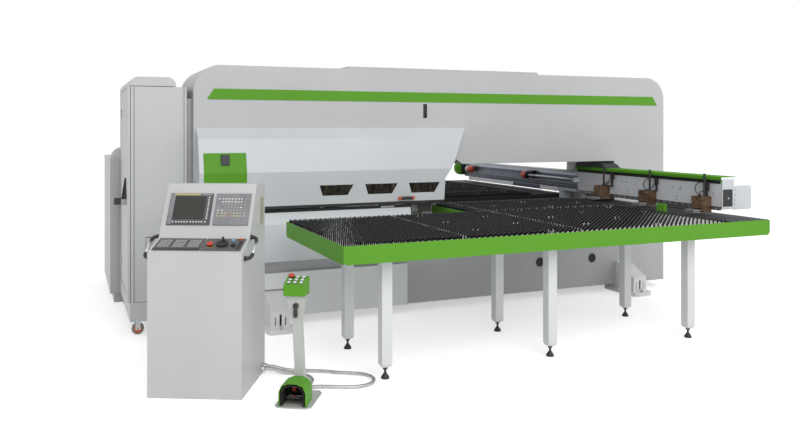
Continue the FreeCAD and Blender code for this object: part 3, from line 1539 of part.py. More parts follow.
def button_box():
    """Sloped green box with nine buttons in three rows, one of them a red mushroom."""
    left = "(post_x - post_lean - box_width / 2)"
    near = "(post_y - box_depth / 2)"
    block = prism("button_block", "YZ", [
        (near, "bracket_top"),
        (f"{near} + box_depth", "bracket_top"),
        (f"{near} + box_depth", "bracket_top + box_back"),
        (near, "bracket_top + box_front"),
    ], left, "box_width")
    slope = slope_angle("box_back - box_front", "box_depth")
    parts = [block]
    for line in range(3):
        for column in range(3):
            big = line == 2 and column == 0
            button = rod(f"button_{line + 1}_{column + 1}", "Z", "0", "0", "0",
                         "button_radius + 3" if big else "button_radius", "22" if big else "9")
            parts.append(on_slope(button, slope, near, "bracket_top + box_front",
                                  f"{left} + box_width / 2 + {column - 1} * button_pitch * 1.05",
                                  f"box_depth / 2 + {line - 1} * button_pitch * 0.9 + 3", "-1"))
    node("button_box", union("button_weld", *parts), "stand")


def shroud_and_treadle():
    """Arched green hood over the hinged treadle."""
    def arch(inset):
        right = f"shroud_left + shroud_width - {inset}"
        left = f"shroud_left + {inset}"
        top = f"stand_sheet + shroud_height - {inset}"
        crown = "shroud_crown"
        return [
            (left, "stand_sheet"),
            (right, "stand_sheet"),
            (right, f"{top} - {crown}"),
            (f"{right} - {crown} * 0.3", f"{top} - {crown} * 0.3"),
            (f"{right} - {crown}", top),
            (f"{left} + {crown}", top),
            (f"{left} + {crown} * 0.3", f"{top} - {crown} * 0.3"),
            (left, f"{top} - {crown}"),
        ]
    hood = prism("hood_block", "XZ", arch("0"), "shroud_front", "shroud_depth")
    room = prism("hood_room", "XZ", arch("shroud_sheet"), "shroud_front - 1",
                 "shroud_depth + 1 - shroud_sheet")
    ear_gap = "(treadle_width / 2 + 1)"
    middle = "(shroud_left + shroud_width / 2)"
    ears = [
        box(f"treadle_ear_{number}", x, "treadle_pivot_y - 12", "stand_sheet", "6", "20",
            "treadle_pivot_z - stand_sheet + 10")
        for number, x in ((1, f"{middle} - {ear_gap} - 6"), (2, f"{middle} + {ear_gap}"))
    ]
    beam = box("treadle_beam", f"{middle} - {ear_gap} - 7", "shroud_front + shroud_depth - 8",
               "stand_sheet", f"2 * ({ear_gap} + 7)", "7", "12")
    links = [
        box(f"ear_link_{number}", x, "treadle_pivot_y", "stand_sheet", "6",
            "shroud_front + shroud_depth - treadle_pivot_y - 2", "12")
        for number, x in ((1, f"{middle} - {ear_gap} - 6"), (2, f"{middle} + {ear_gap}"))
    ]
    hole = rod("treadle_hole", "X", f"{middle} - 80", "treadle_pivot_y", "treadle_pivot_z",
               "treadle_pin + bearing_gap", "160")
    shell = minus("hood_shell", hood, room)
    node("pedal_shroud", minus("hood_cut", union("hood_weld", shell, *ears, beam, *links), hole),
         "stand")
    plate = prism("treadle_plate", "YZ", [
        ("treadle_pivot_y", "treadle_pivot_z - treadle_sheet / 2"),
        ("treadle_pivot_y", "treadle_pivot_z + treadle_sheet / 2"),
        ("treadle_pivot_y - treadle_length", f"treadle_pivot_z + treadle_sheet / 2 + treadle_rise"),
        ("treadle_pivot_y - treadle_length", f"treadle_pivot_z - treadle_sheet / 2 + treadle_rise"),
    ], f"{middle} - treadle_width / 2", "treadle_width")
    pin = rod("treadle_pin", "X", f"{middle} - {ear_gap} - 6", "treadle_pivot_y",
              "treadle_pivot_z", "treadle_pin", f"2 * ({ear_gap} + 6)")
    node("treadle", union("treadle_weld", plate, pin), "stand")


def post_lever():
    """Clamping lever on the front of the bracket."""
    face = "(post_y - post_width / 2 - 6)"
    x = f"(post_x - {post_shift('lever_z')} + 4)"
    hub = rod("lever_hub", "Y", x, f"{face} - run_gap - 26", "lever_z", "lever_radius + 3", "26")
    arm = rod("lever_arm", "Z", x, f"{face} - run_gap - 16", "lever_z - lever_length",
              "lever_radius - 2", "lever_length")
    node("post_lever", union("lever_weld", hub, arm), "stand")


# ---- conduits between console and stand ----

def own_to_machine(origin, x, y, z):
    """A point of a turned grid in the row's frame."""
    turn = math.radians(size(f"{origin}_turn"))
    start = V(size(f"{origin}_x") - size("datum_x"), size(f"{origin}_y") - size("datum_y"), 0)
    return start + V(x * math.cos(turn) - y * math.sin(turn),
                     x * math.sin(turn) + y * math.cos(turn), z)


def tube(label, points, radius):
    """Straight runs joined by arcs as large as the runs allow."""
    edges = []
    start = points[0]
    radii = []
    for before, corner, after in zip(points, points[1:], points[2:]):
        into = corner - before
        out = after - corner
        reach = 0.45 * min(into.Length, out.Length)
        turn = into.getAngle(out)
        first = corner - V(into).normalize() * reach
        last = corner + V(out).normalize() * reach
        halfway = corner + ((first + last) / 2 - corner) * (
            (1 / math.cos(turn / 2) - 1) / (1 / math.cos(turn / 2) - math.cos(turn / 2)))
        radii.append(reach / math.tan(turn / 2))
        edges.append(Part.LineSegment(start, first).toShape())
        edges.append(Part.Arc(first, halfway, last).toShape())
        start = last
    edges.append(Part.LineSegment(start, points[-1]).toShape())
    path = Part.Wire(edges)
    ring = Part.Wire(Part.makeCircle(radius, points[0], points[1] - points[0]))
    solid = path.makePipeShell([ring], True, False)
    ratio = solid.Volume / (math.pi * radius ** 2 * path.Length)
    print(label, "length", round(path.Length), "least radius", round(min(radii)),
          "volume over section times length", round(ratio, 4))
    item = doc.addObject("Part::Feature", label + "_tube")
    item.Shape = solid
    item.Label = label
    nodes.append(item)


def conduits():
    """Two armoured conduits that leave the console low on its right side."""
    radius = size("conduit_radius")
    lie = radius + 0.4
    out = size("console_width") + size("gland_length")
    high = size("gland_height")
    back = size("post_y") + size("post_width") / 2
    first = size("gland_first")
    second = first + size("gland_pitch")

    def console_point(x, y, z):
        return own_to_machine("console", x, y, z)

    def stand_point(x, y, z):
        return own_to_machine("stand", x, y, z)

    entry = size("stand_sheet") + radius + 12
    tube("conduit_short", [
        console_point(out - 15, first, high),
        console_point(out + 55, first, high),
        console_point(out + 140, first, lie),
        stand_point(-40, 668, lie),
        stand_point(50, 640, lie),
        stand_point(116, 568, lie),
        stand_point(134, 470, lie),
        stand_point(120, 380, lie),
        stand_point(114, 300, entry),
        stand_point(114, back + 0.3, entry),
    ], radius)
    tube("conduit_loop", [
        console_point(out - 15, second, high),
        console_point(out + 55, second, high),
        console_point(out + 140, second, lie),
        stand_point(60, 740, lie),
        stand_point(160, 745, lie),
        stand_point(260, 727, lie),
        stand_point(360, 727, lie),
        stand_point(450, 722, lie),
        stand_point(524, 675, lie),
        stand_point(558, 595, lie),
        stand_point(548, 508, lie),
        stand_point(482, 445, lie),
        stand_point(392, 418, lie),
        stand_point(260, 414, lie),
        stand_point(206, 392, lie + 6),
        stand_point(165, 351, lie + 13),
        stand_point(143, 298, entry),
        stand_point(143, back + 0.3, entry),
    ], radius)


main_frame()
frame_trim()
frame_feet()
upper_cover()
cover_windows()
hatch()
lower_covers()
rear_cover()
turrets()
tray("front_table", "table_near", "table_back", "centre_back", rear=False)
tray("rear_table", "rear_back", "rear_front", "rear_centre_front", rear=True)
brushes("front_brushes", size("table_near"), size("table_back"), size("centre_back"))
brushes("rear_brushes", size("rear_back"), size("rear_front"), size("rear_centre_front"))
legs_and_feet()
rails()
bridge()
carriage_drive()
carriage()
for count in (1, 2, 3):
    workholder(count)
cabinet()
second_cabinet()
casters()
console()
pedal_stand()
button_box()
shroud_and_treadle()
post_lever()
conduits()
doc.recompute()

for item in doc.Objects:
    if "Invalid" in item.State or "Error" in item.State:
        raise RuntimeError(f"{item.Label} failed: {item.State}")

os.makedirs("parts", exist_ok=True)
whole = FreeCAD.BoundBox()
for item in nodes:
    shape = item.Shape
    if shape.isNull() or not shape.isValid() or not shape.Solids:
        raise RuntimeError(f"{item.Label} has no valid solid")
    whole.add(shape.BoundBox)
    solids = shape.Solids
    (solids[0] if len(solids) == 1 else shape).exportStep(f"parts/{item.Label}.step")
print(len(nodes), "sub-parts", whole)
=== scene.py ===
"""CNC turret punch press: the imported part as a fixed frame, dressed piece by piece."""
import bmesh
import bpy
import json
import math
import numpy as np
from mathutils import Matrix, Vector

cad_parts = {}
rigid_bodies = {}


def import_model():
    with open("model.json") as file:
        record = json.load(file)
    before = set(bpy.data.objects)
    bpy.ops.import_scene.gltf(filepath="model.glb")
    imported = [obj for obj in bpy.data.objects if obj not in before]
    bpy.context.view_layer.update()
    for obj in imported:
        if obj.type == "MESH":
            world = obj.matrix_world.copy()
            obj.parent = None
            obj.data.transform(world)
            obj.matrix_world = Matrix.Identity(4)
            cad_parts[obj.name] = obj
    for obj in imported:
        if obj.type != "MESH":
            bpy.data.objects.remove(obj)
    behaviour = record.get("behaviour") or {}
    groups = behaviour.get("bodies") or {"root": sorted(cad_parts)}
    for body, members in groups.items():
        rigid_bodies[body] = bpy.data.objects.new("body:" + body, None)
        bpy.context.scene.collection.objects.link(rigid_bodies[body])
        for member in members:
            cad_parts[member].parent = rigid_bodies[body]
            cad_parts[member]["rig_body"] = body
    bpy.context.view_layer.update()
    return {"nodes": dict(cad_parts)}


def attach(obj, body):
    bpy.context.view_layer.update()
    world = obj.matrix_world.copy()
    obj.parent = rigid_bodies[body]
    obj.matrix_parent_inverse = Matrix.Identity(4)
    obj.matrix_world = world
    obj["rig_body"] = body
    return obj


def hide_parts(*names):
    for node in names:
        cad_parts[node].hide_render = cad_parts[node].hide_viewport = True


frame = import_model()


# ---- Viewpoint ----
# The press is looked at from the front left, at eye height, with a short lens whose
# frame is shifted down so that upright edges stay upright.
camera_data = bpy.data.cameras.new("eye")
camera_data.lens = 35.0
camera_data.sensor_width = 36.0
camera_data.shift_y = -0.112
camera_data.clip_end = 200
camera = bpy.data.objects.new("eye", camera_data)
camera.location = (-3.310, -7.667, 1.8)
camera.rotation_euler = (math.radians(90), 0, math.radians(-23))
bpy.context.scene.collection.objects.link(camera)
bpy.context.scene.camera = camera
bpy.context.scene.view_settings.view_transform = "Standard"


# ---- Armoured conduits ----
# Two lengths of spiral-wound steel conduit carry the control wires from the console's
# foot to the back of the pedal stand. They lie loose on the floor, the longer one in a
# flat loop behind the post.
row_origin = np.array([2310, 667, 0])


def floor_grid(origin_x, origin_y, turn):
    """A turned grid on the floor, its origin on the machine's grid of millimetres.

    It brings points into the row's metres: turned about z, moved, less the row's origin.
    """
    angle = math.radians(turn)
    rows = np.array([[math.cos(angle), math.sin(angle), 0],
                     [-math.sin(angle), math.cos(angle), 0],
                     [0, 0, 1]])
    start = np.array([origin_x, origin_y, 0]) - row_origin

    def to_row(points):
        """Start plus the points times the turn, in metres."""
        return (start + np.asarray(points, float) @ rows) / 1000
    return to_row


console_grid = floor_grid(-526.5, -1571, -26.5)
stand_grid = floor_grid(202, -2081, -31)


def new_finish(name):
    """An empty node material: its links, its shader and the object's own coordinates."""
    material = bpy.data.materials.new(name)
    material.use_nodes = True
    tree = material.node_tree
    shader = tree.nodes["Principled BSDF"]
    spot = tree.nodes.new("ShaderNodeTexCoord").outputs["Object"]
    return material, tree, shader, spot


def wire(item, **inputs):
    """Links or sets the named sockets of a node, whose names have _ for a space."""
    for name, value in inputs.items():
        socket = item.inputs[name.replace("_", " ")]
        if isinstance(value, bpy.types.NodeSocket):
            item.id_data.links.new(value, socket)
        else:
            socket.default_value = value
    return item


def add_node(tree, kind, output, **inputs):
    """A new shader node with its sockets filled; gives back one of its outputs."""
    return wire(tree.nodes.new("ShaderNode" + kind), **inputs).outputs[output]


def noise(tree, spot, scale, detail=3.0, stretch=(1, 1, 1)):
    """Soft random values at so many spots a metre, stretched along the axes."""
    stretched = add_node(tree, "Mapping", "Vector", Scale=stretch, Vector=spot)
    return add_node(tree, "TexNoise", "Fac", Scale=scale, Detail=detail, Vector=stretched)


def blend_colours(tree, share, stops):
    """A ramp of colours, each stop a place from 0 to 1 and a colour."""
    ramp = tree.nodes.new("ShaderNodeValToRGB")
    for element, (place, colour) in zip(ramp.color_ramp.elements, (stops[0], stops[-1])):
        element.position = place
        element.color = (*colour, 1)
    for place, colour in stops[1:-1]:
        ramp.color_ramp.elements.new(place).color = (*colour, 1)
    return wire(ramp, Fac=share).outputs["Color"]


def mottle(tree, share, colour, spread, low, high):
    """The colour a little darker up to low and a little lighter from high, by share."""
    dark = tuple(part * (1 - spread) for part in colour)
    light = tuple(min(1, part * (1 + spread)) for part in colour)
    return blend_colours(tree, share, [(low, dark), (high, light)])


def blend_values(tree, share, low, high):
    """A number that runs from low to high with share."""
    return add_node(tree, "MapRange", "Result", To_Min=low, To_Max=high, Value=share)


def relief(tree, height, depth):
    """Small bumps of that depth, in metres, as a normal."""
    return add_node(tree, "Bump", "Normal", Distance=depth, Strength=1.0, Height=height)


def metal(name, colour, rough=0.35, grain=(1, 1, 1), scale=220, spread=0.12):
    """Bare metal: fine streaks along one way, a little patchy in tone and in gloss."""
    material, tree, shader, spot = new_finish(name)
    streaks = noise(tree, spot, scale, 2.0, grain)
    patches = noise(tree, spot, 9, 3.0)
    wire(shader, Base_Color=mottle(tree, patches, colour, spread, 0.3, 0.7), Metallic=0.85,
         Roughness=blend_values(tree, streaks, rough - 0.08, rough + 0.1),
         Normal=relief(tree, streaks, 0.00008))
    return material


def add_piece(name, shape, material, body="machine", smooth=False, instead=None):
    """One piece from points and faces, on its body, in place of the CAD node instead."""
    points, faces = shape
    mesh = bpy.data.meshes.new(name)
    mesh.from_pydata(np.asarray(points, float).tolist(), [], faces)
    mesh.polygons.foreach_set("use_smooth", np.full(len(mesh.polygons), smooth))
    mesh.materials.append(material)
    piece = bpy.data.objects.new(name, mesh)
    bpy.context.scene.collection.objects.link(piece)
    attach(piece, body)
    if instead:
        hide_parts(instead)
    return piece


def skin(rows, columns, closed=True):
    """Faces of a grid of points, row by row; closed joins the last column to the first."""
    row, column = np.meshgrid(np.arange(rows - 1), np.arange(columns - (not closed)), indexing="ij")
    after = (column + 1) % columns
    corners = [row * columns + column, row * columns + after,
               (row + 1) * columns + after, (row + 1) * columns + column]
    return np.stack(corners, -1).reshape(-1, 4)


def smooth_route(name, corners):
    """The line of a stiff hose, as points close together.

    It is a spline of order three, clamped at both ends and drawn towards its corners.
    """
    data = bpy.data.curves.new(name + "_route", "CURVE")
    data.dimensions = "3D"
    data.resolution_u = 24
    spline = data.splines.new("NURBS")
    spline.points.add(len(corners) - 1)
    spline.points.foreach_set("co", np.column_stack([corners, np.ones(len(corners))]).ravel())
    spline.order_u = 3
    spline.use_endpoint_u = True
    route = bpy.data.objects.new(name + "_route", data)
    line = bpy.data.meshes.new_from_object(route)
    points = np.empty(len(line.vertices) * 3)
    line.vertices.foreach_get("co", points)
    bpy.data.objects.remove(route)
    return points.reshape(-1, 3)


def evenly(points, step):
    """The same line cut at equal steps, and the distance run at each point."""
    runs = np.linalg.norm(np.diff(points, axis=0), axis=1)
    run = np.concatenate([[0], np.cumsum(runs)])
    count = int(run[-1] / step) + 1
    marks = np.linspace(0, run[-1], count)
    return np.column_stack([np.interp(marks, run, points[:, axis]) for axis in range(3)]), marks


def pipe(points, radii, sides=14):
    """Rings around a line: radius times the cosine and sine of the angle, square to it."""
    along = np.gradient(points, axis=0)
    along /= np.linalg.norm(along, axis=1)[:, None]
    lift = np.array([0.0, 0.0, 1.0])
    if abs(along[:, 2]).max() > 0.98:
        lift = np.array([0.35, 0.94, 0.1])
    side = np.cross(along, lift)
    side /= np.linalg.norm(side, axis=1)[:, None]
    up = np.cross(side, along)
    angle = np.linspace(0, 2 * np.pi, sides, endpoint=False)
    radii = np.broadcast_to(radii, len(points))[:, None, None]
    rings = points[:, None] + radii * (np.cos(angle)[None, :, None] * side[:, None]
                                       + np.sin(angle)[None, :, None] * up[:, None])
    faces = skin(len(points), sides)[:, ::-1].tolist()
    faces.append(list(range(sides)))
    faces.append(list(range((len(points) - 1) * sides, len(points) * sides))[::-1])
    return rings.reshape(-1, 3), faces


conduit_steel = metal("conduit_steel", (0.50, 0.50, 0.49), 0.38, spread=0.2)
conduit_radius = 0.013
rib_pitch = 0.0085
lie = 13.4
outlet = 42
entry = 33
conduit_routes = {
    "conduit_short": (
        0.763,
        [(651, 540, outlet), (721, 540, outlet), (806, 540, lie)],
        [(-40, 668, lie), (50, 640, lie), (116, 568, lie), (134, 470, lie), (120, 380, lie),
         (114, 300, entry), (114, 240.3, entry)]),
    "conduit_loop": (
        1.539,
        [(651, 602, outlet), (721, 602, outlet), (806, 602, lie)],
        [(60, 740, lie), (160, 745, lie), (260, 727, lie), (360, 727, lie), (450, 722, lie),
         (524, 675, lie), (558, 595, lie), (548, 508, lie), (482, 445, lie), (392, 418, lie),
         (260, 414, lie), (206, 392, lie + 6), (165, 351, lie + 13), (143, 298, entry),
         (143, 240.3, entry)]),
}
for name, (length, near_console, near_stand) in conduit_routes.items():
    corners = np.vstack([console_grid(near_console), stand_grid(near_stand)])
    centre_line, run = evenly(smooth_route(name, corners), rib_pitch / 5)
    rib = 0.5 + 0.5 * np.cos(2 * np.pi * run / rib_pitch)
    shell = pipe(centre_line, conduit_radius * (0.90 + 0.10 * np.sqrt(rib)), 16)
    hose = add_piece(name + "_ribs", shell, conduit_steel, smooth=True,
                     instead=name)


# ---- O-frame ----
# The frame is one welded box of thick plate with a long throat, painted light grey in
# a fine textured powder coat. Its outer edges are ground round before painting. A crown
# plate is welded on top, and two sling holes go through the lower beam.
def powder_coat(name, colour, rough=0.42, grain=0.00018, dusty=0.0, sheen=0.5):
    """Baked paint: an even colour with faint clouds, a fine skin and dust low down."""
    material, tree, shader, spot = new_finish(name)
    tone = mottle(tree, noise(tree, spot, 1.7, 4.0), colour, 0.025, 0.35, 0.65)
    if dusty:
        height = add_node(tree, "SeparateXYZ", "Z", Vector=spot)
        low = add_node(tree, "MapRange", "Result", From_Min=0.0, From_Max=0.6, To_Min=dusty,
                       To_Max=0.0, Value=height)
        tone = add_node(tree, "MixRGB", "Color", Color2=(0.30, 0.29, 0.28, 1), Fac=low,
                        Color1=tone)
    skin_grain = noise(tree, spot, 700, 2.0)
    wire(shader, Base_Color=tone, Normal=relief(tree, skin_grain, grain),
         Specular_IOR_Level=sheen,
         Roughness=blend_values(tree, skin_grain, rough - 0.06, rough + 0.08))
    return material


def rounded_copy(node, material, width, turns=2, cut_far=None):
    """The node's own shape with its sharp edges rounded, in the node's place.

    What lies beyond the row's y of cut_far is left off and the cut is closed.
    """
    source = frame["nodes"][node]
    form = bmesh.new()
    form.from_mesh(source.data)
    bmesh.ops.remove_doubles(form, verts=form.verts, dist=0.00002)
    bmesh.ops.dissolve_limit(form, angle_limit=math.radians(0.6), verts=form.verts,
                             edges=form.edges)
    if cut_far is not None:
        everything = form.verts[:] + form.edges[:] + form.faces[:]
        bmesh.ops.bisect_plane(form, geom=everything, plane_co=(0, cut_far, 0),
                               plane_no=(0, 1, 0), clear_outer=True)
        bmesh.ops.holes_fill(form, edges=[edge for edge in form.edges if edge.is_boundary])
    mesh = bpy.data.meshes.new(node + "_rounded")
    form.to_mesh(mesh)
    form.free()
    mesh.materials.clear()
    mesh.materials.append(material)
    piece = bpy.data.objects.new(node + "_rounded", mesh)
    bpy.context.scene.collection.objects.link(piece)
    bevel = piece.modifiers.new("edges", "BEVEL")
    bevel.width = width
    bevel.segments = turns
    bevel.limit_method = "ANGLE"
    bevel.angle_limit = math.radians(50)
    mesh.polygons.foreach_set("use_smooth", np.full(len(mesh.polygons), False))
    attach(piece, source["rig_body"])
    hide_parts(node)
    return piece


frame_grey = powder_coat("frame_grey", (0.515, 0.52, 0.53), dusty=0.18)
rounded_copy("main_frame", frame_grey, 0.006)
rounded_copy("frame_top_cover", frame_grey, 0.004)


def ring_stack(rings):
    """Skin over closed rings of points, all of one count, with both ends closed."""
    rings = np.asarray(rings, float)
    rows, columns = rings.shape[:2]
    faces = skin(rows, columns).tolist()
    faces.append(list(range(columns))[::-1])
    faces.append(list(range((rows - 1) * columns, rows * columns)))
    return rings.reshape(-1, 3), faces


def turned(profile, sides=24):
    """A turned part: each radius and height of the profile swept once round the z axis."""
    profile = np.asarray(profile, float)
    angle = np.linspace(0, 2 * np.pi, sides, endpoint=False)
    rings = np.stack([profile[:, :1] * np.cos(angle), profile[:, :1] * np.sin(angle),
                      np.repeat(profile[:, 1:], sides, axis=1)], -1)
    return ring_stack(rings)


def seat(shape, start=(0, 0, 0), to_row=None, across=(1, 0, 0), deep=(0, 1, 0)):
    """A shape set down at a start, its own x and y turned to across and deep, in metres."""
    points, faces = shape
    across = np.asarray(across, float)
    deep = np.asarray(deep, float)
    axes = np.array([across, deep, np.cross(across, deep)])
    return (to_row or machine_grid)(np.asarray(start, float) + points @ axes), faces


def together(*shapes):
    """Several shapes in one mesh."""
    points = []
    faces = []
    count = 0
    for spots, corners in shapes:
        faces.extend([[index + count for index in face] for face in corners])
        points.append(spots)
        count += len(spots)
    return np.vstack(points), faces


def scatter(shape, spots, **way):
    """The same shape set down at each of the spots."""
    return together(*(seat(shape, spot, **way) for spot in spots))


machine_grid = floor_grid(0, 0, 0)
facing_front = {"across": (1, 0, 0), "deep": (0, 0, 1)}


def moulded(name, colour, rough=0.5, grain=0.0002, patch=0.10):
    """Moulded plastic or rubber: a fine leather-like grain and a slightly uneven tone."""
    material, tree, shader, spot = new_finish(name)
    fine = noise(tree, spot, 900, 2.0)
    wire(shader, Base_Color=mottle(tree, noise(tree, spot, 14, 3.0), colour, patch, 0.3, 0.7),
         Roughness=blend_values(tree, fine, rough - 0.08, rough + 0.10),
         Normal=relief(tree, fine, grain))
    return material


# Black discs in the sling holes and a black slab in the sight slot, in the black finish, are
# painted shade for their dark insides. The same black finish is real rubber on other pieces.
black_rubber = moulded("black_rubber", (0.018, 0.018, 0.018), rough=0.7, grain=0.0004)
hole_shade_disc = turned([(48.5, -12), (49, 0), (49, 3), (46, 5), (40, 2), (34, 0.5), (10, 0), (0.5, 0)], 32)
add_piece("sling_hole_shade_discs", scatter(hole_shade_disc, [(3580, 8, 380), (4250, 8, 380)], **facing_front),
          black_rubber, smooth=True)


def rounded_slab(x, y, z, length, width, height, corner=4.0, edge=1.5, turns=3):
    """A slab with rounded corners and a rounded top edge.

    The outline is a rectangle whose corners are quarter circles; it is drawn in by
    edge times one minus the cosine as it rises by edge times the sine.
    """
    corner = min(corner, length / 2 - 0.01, width / 2 - 0.01)
    bend = np.linspace(0, np.pi / 2, turns + 1)
    centres = [(length - corner, width - corner, 0), (corner, width - corner, 1),
               (corner, corner, 2), (length - corner, corner, 3)]

    def loop(draw, lift):
        """One round of the outline: corner arcs of radius corner - draw, raised by lift."""
        radius = max(corner - draw, 0.01)
        spots = []
        for shift_x, shift_y, number in centres:
            if corner < draw:
                shift_x += (draw - corner) * (1 if number in (1, 2) else -1)
                shift_y += (draw - corner) * (1 if number in (2, 3) else -1)
            angle = bend + number * np.pi / 2
            spots.append(np.column_stack([x + shift_x + radius * np.cos(angle),
                                          y + shift_y + radius * np.sin(angle),
                                          np.full(len(angle), z + lift)]))
        return np.vstack(spots)

    return ring_stack([loop(0, 0)] + [
        loop(edge * (1 - math.cos(turn)), height - edge + edge * math.sin(turn)) for turn in bend])


def front_slab(y, x, z, *sizes):
    """A slab that faces front from the plane y, its lower left corner at x and z."""
    return seat(rounded_slab(x, z, 0, *sizes), (0, y, 0), **facing_front)


# The black slab in the sight slot is painted shade for its dark inside.
add_piece("sight_slot_shade_slab", front_slab(6, 2224, 1899, 38, 135, 6, 17, 2), black_rubber,
          smooth=True)


# ---- Frame feet ----
# Four bracket feet of folded sheet stand on thick rounded sole plates, welded to the
# frame's lower corners and bolted to the floor with hex nuts.
foot_white = powder_coat("foot_white", (0.88, 0.88, 0.88), dusty=0.03)
rounded_copy("frame_feet", foot_white, 0.003)
zinc = metal("zinc", (0.50, 0.51, 0.50), 0.34)


def hex_head(radius, height):
    """A hex nut or bolt head with a turned chamfer on its top edge."""
    return turned([(radius, 0), (radius, height * 0.8), (radius * 0.9, height),
                   (0.3, height)], 6)


anchors = [(x, y, 40.5) for x in (705, 4650) for y in (-335, 1235)]
anchor_bolt = turned([(9.9, -38), (9.9, 26), (8, 29), (0.3, 29)], 16)
add_piece("anchor_nuts", together(scatter(hex_head(17, 16), anchors),
                                  scatter(anchor_bolt, anchors)), zinc)


# ---- Stripe ----
# A slanted strip of green sheet is fixed along the frame's front, below the crown. It is
# painted on its own, so the two paints meet in a clean line.


def paint(node, material):
    """The CAD node keeps its shape and takes a finish."""
    node_object = frame["nodes"][node]
    node_object.data.materials.clear()
    node_object.data.materials.append(material)


leaf_green = powder_coat("leaf_green", (0.108, 0.330, 0.024), rough=0.5, grain=0.0001, sheen=0.2)
paint("stripe_panel", leaf_green)


# ---- Turret covers ----
# Folded sheet covers, smooth and cool white, hide the two turrets; the rear guard is
# of the same sheet. A sprung grip bar with orange end rings is bolted on low down.
cover_white = powder_coat("cover_white", (0.60, 0.63, 0.655), rough=0.36, grain=0.00008)
# The base panel's white is lighter than the covers', partly to offset the shade under the table:
# painted light.
lit_low_white = powder_coat("lit_low_white", (0.88, 0.89, 0.90), rough=0.4)
for cover, coat in (("upper_cover", cover_white), ("lower_cover", cover_white),
                    ("base_panel", lit_low_white), ("rear_cover", cover_white)):
    rounded_copy(cover, coat, 0.0015)
black_plastic = moulded("black_plastic", (0.018, 0.018, 0.019))
ring_orange = moulded("ring_orange", (0.62, 0.10, 0.02), rough=0.4)
along_x = {"across": (0, 1, 0), "deep": (0, 0, 1)}
grip_y = -187
grip_z = 1130
sleeve = turned([(0.5, 0), (15.2, 0), (15.8, 3), (15.8, 113), (15.2, 116), (0.5, 116)], 20)
add_piece("grip_sleeve", seat(sleeve, (1902, grip_y, grip_z), **along_x), black_plastic,
          smooth=True)
end_ring = turned([(0.5, 0), (15.0, 0), (16.8, 3), (16.8, 19), (15.6, 23), (0.5, 23)], 20)
end_rings = scatter(end_ring, [(x, grip_y, grip_z) for x in (1879, 2018)], **along_x)
add_piece("grip_end_rings", end_rings, ring_orange, smooth=True)


# ---- Cover windows ----
# Smoked clear sheet is glued behind three trapezoid cut-outs; the tool holders behind
# show through it as dull brown and grey uprights.

# Glossy dark plastic; noise drawn out along z gives the blurred uprights behind it.
smoked_pane, pane_tree, pane_shader, pane_spot = new_finish("smoked_pane")
smoke = (0.014, 0.012, 0.010)
holder_brown = (0.050, 0.042, 0.030)
uprights = noise(pane_tree, pane_spot, 30, 2.0, (1.0, 1.0, 0.22))
shades = [(0.42, smoke), (0.53, holder_brown), (0.58, tuple(part * 0.6 for part in smoke)),
          (0.74, tuple(part * 1.9 for part in holder_brown))]
wire(pane_shader, Base_Color=blend_colours(pane_tree, uprights, shades),
     Roughness=blend_values(pane_tree, uprights, 0.16, 0.28))
paint("cover_windows", smoked_pane)


# ---- Service hatch ----
# A green door of folded sheet hangs on a long hinge; a black quarter-turn latch with a
# raised lip holds it shut.
rounded_copy("hatch_door", leaf_green, 0.001)
rounded_copy("hatch_latch", black_plastic, 0.003)


# ---- Sheet slot guard ----
# Black strip lines both lips of the slot that the sheet runs through; it is painted shade for
# the dark inside of the slot. At its right end sits a black sensor block with a speckled plate
# and a brown window.
paint("slot_guard", black_rubber)
guard_face = -116.8
zinc_speckled = metal("zinc_speckled", (0.12, 0.12, 0.12), 0.5, scale=120, spread=0.7)
add_piece("sensor_plate", front_slab(guard_face, 2044, 986, 62, 72, 3, 6, 1), zinc_speckled)
sensor_brown = moulded("sensor_brown", (0.024, 0.015, 0.010), rough=0.4, patch=0.6)
add_piece("sensor_window", front_slab(guard_face, 2116, 986, 118, 72, 3, 4, 1), sensor_brown)
slot_white = moulded("slot_white", (0.42, 0.42, 0.43), rough=0.5)
add_piece("slot_white_plate", front_slab(guard_face, 1722, 1040, 140, 19, 6, 3, 1), slot_white)


# ---- Turrets and ram ----
# Two ground steel discs carry the tools; the ram above them drives one tool at a time.
# The covers hide all three, and the discs turn together.
ground_steel = metal("ground_steel", (0.50, 0.51, 0.52), 0.30, (1, 1, 12))
for node in ("upper_turret", "lower_turret", "ram"):
    paint(node, ground_steel)


# ---- Tables ----
# Two trays of folded sheet with deep green rims stand each side of the frame. Right of
# the brushes a folded shelf is faced with smooth dark sheet for the clamps to pass over.
def second_finish(piece, material, chosen):
    """Gives a second finish to the faces whose middles, in millimetres, are chosen."""
    mesh = piece.data
    mesh.materials.append(material)
    middles = np.empty(len(mesh.polygons) * 3)
    mesh.polygons.foreach_get("center", middles)
    middles = middles.reshape(-1, 3) * 1000 + row_origin
    mesh.polygons.foreach_set("material_index", chosen(*middles.T).astype(int))


tray_grey = powder_coat("tray_grey", (0.60, 0.61, 0.62), rough=0.6)
floor_low = 950
floor_high = 963
for node in ("front_table", "rear_table"):
    tray = rounded_copy(node, leaf_green, 0.0025)
    second_finish(tray, tray_grey, lambda x, y, z: (z > floor_low) & (z < floor_high))
slide_steel = metal("slide_steel", (0.050, 0.050, 0.058), 0.58, (6, 1, 1))


def plate(x, y, z, length, width, height, corner=2.0):
    """A flat plate on the machine's grid, its top edge broken by a millimetre at most."""
    return seat(rounded_slab(x, y, z, length, width, height, corner, min(1.0, height / 3)))


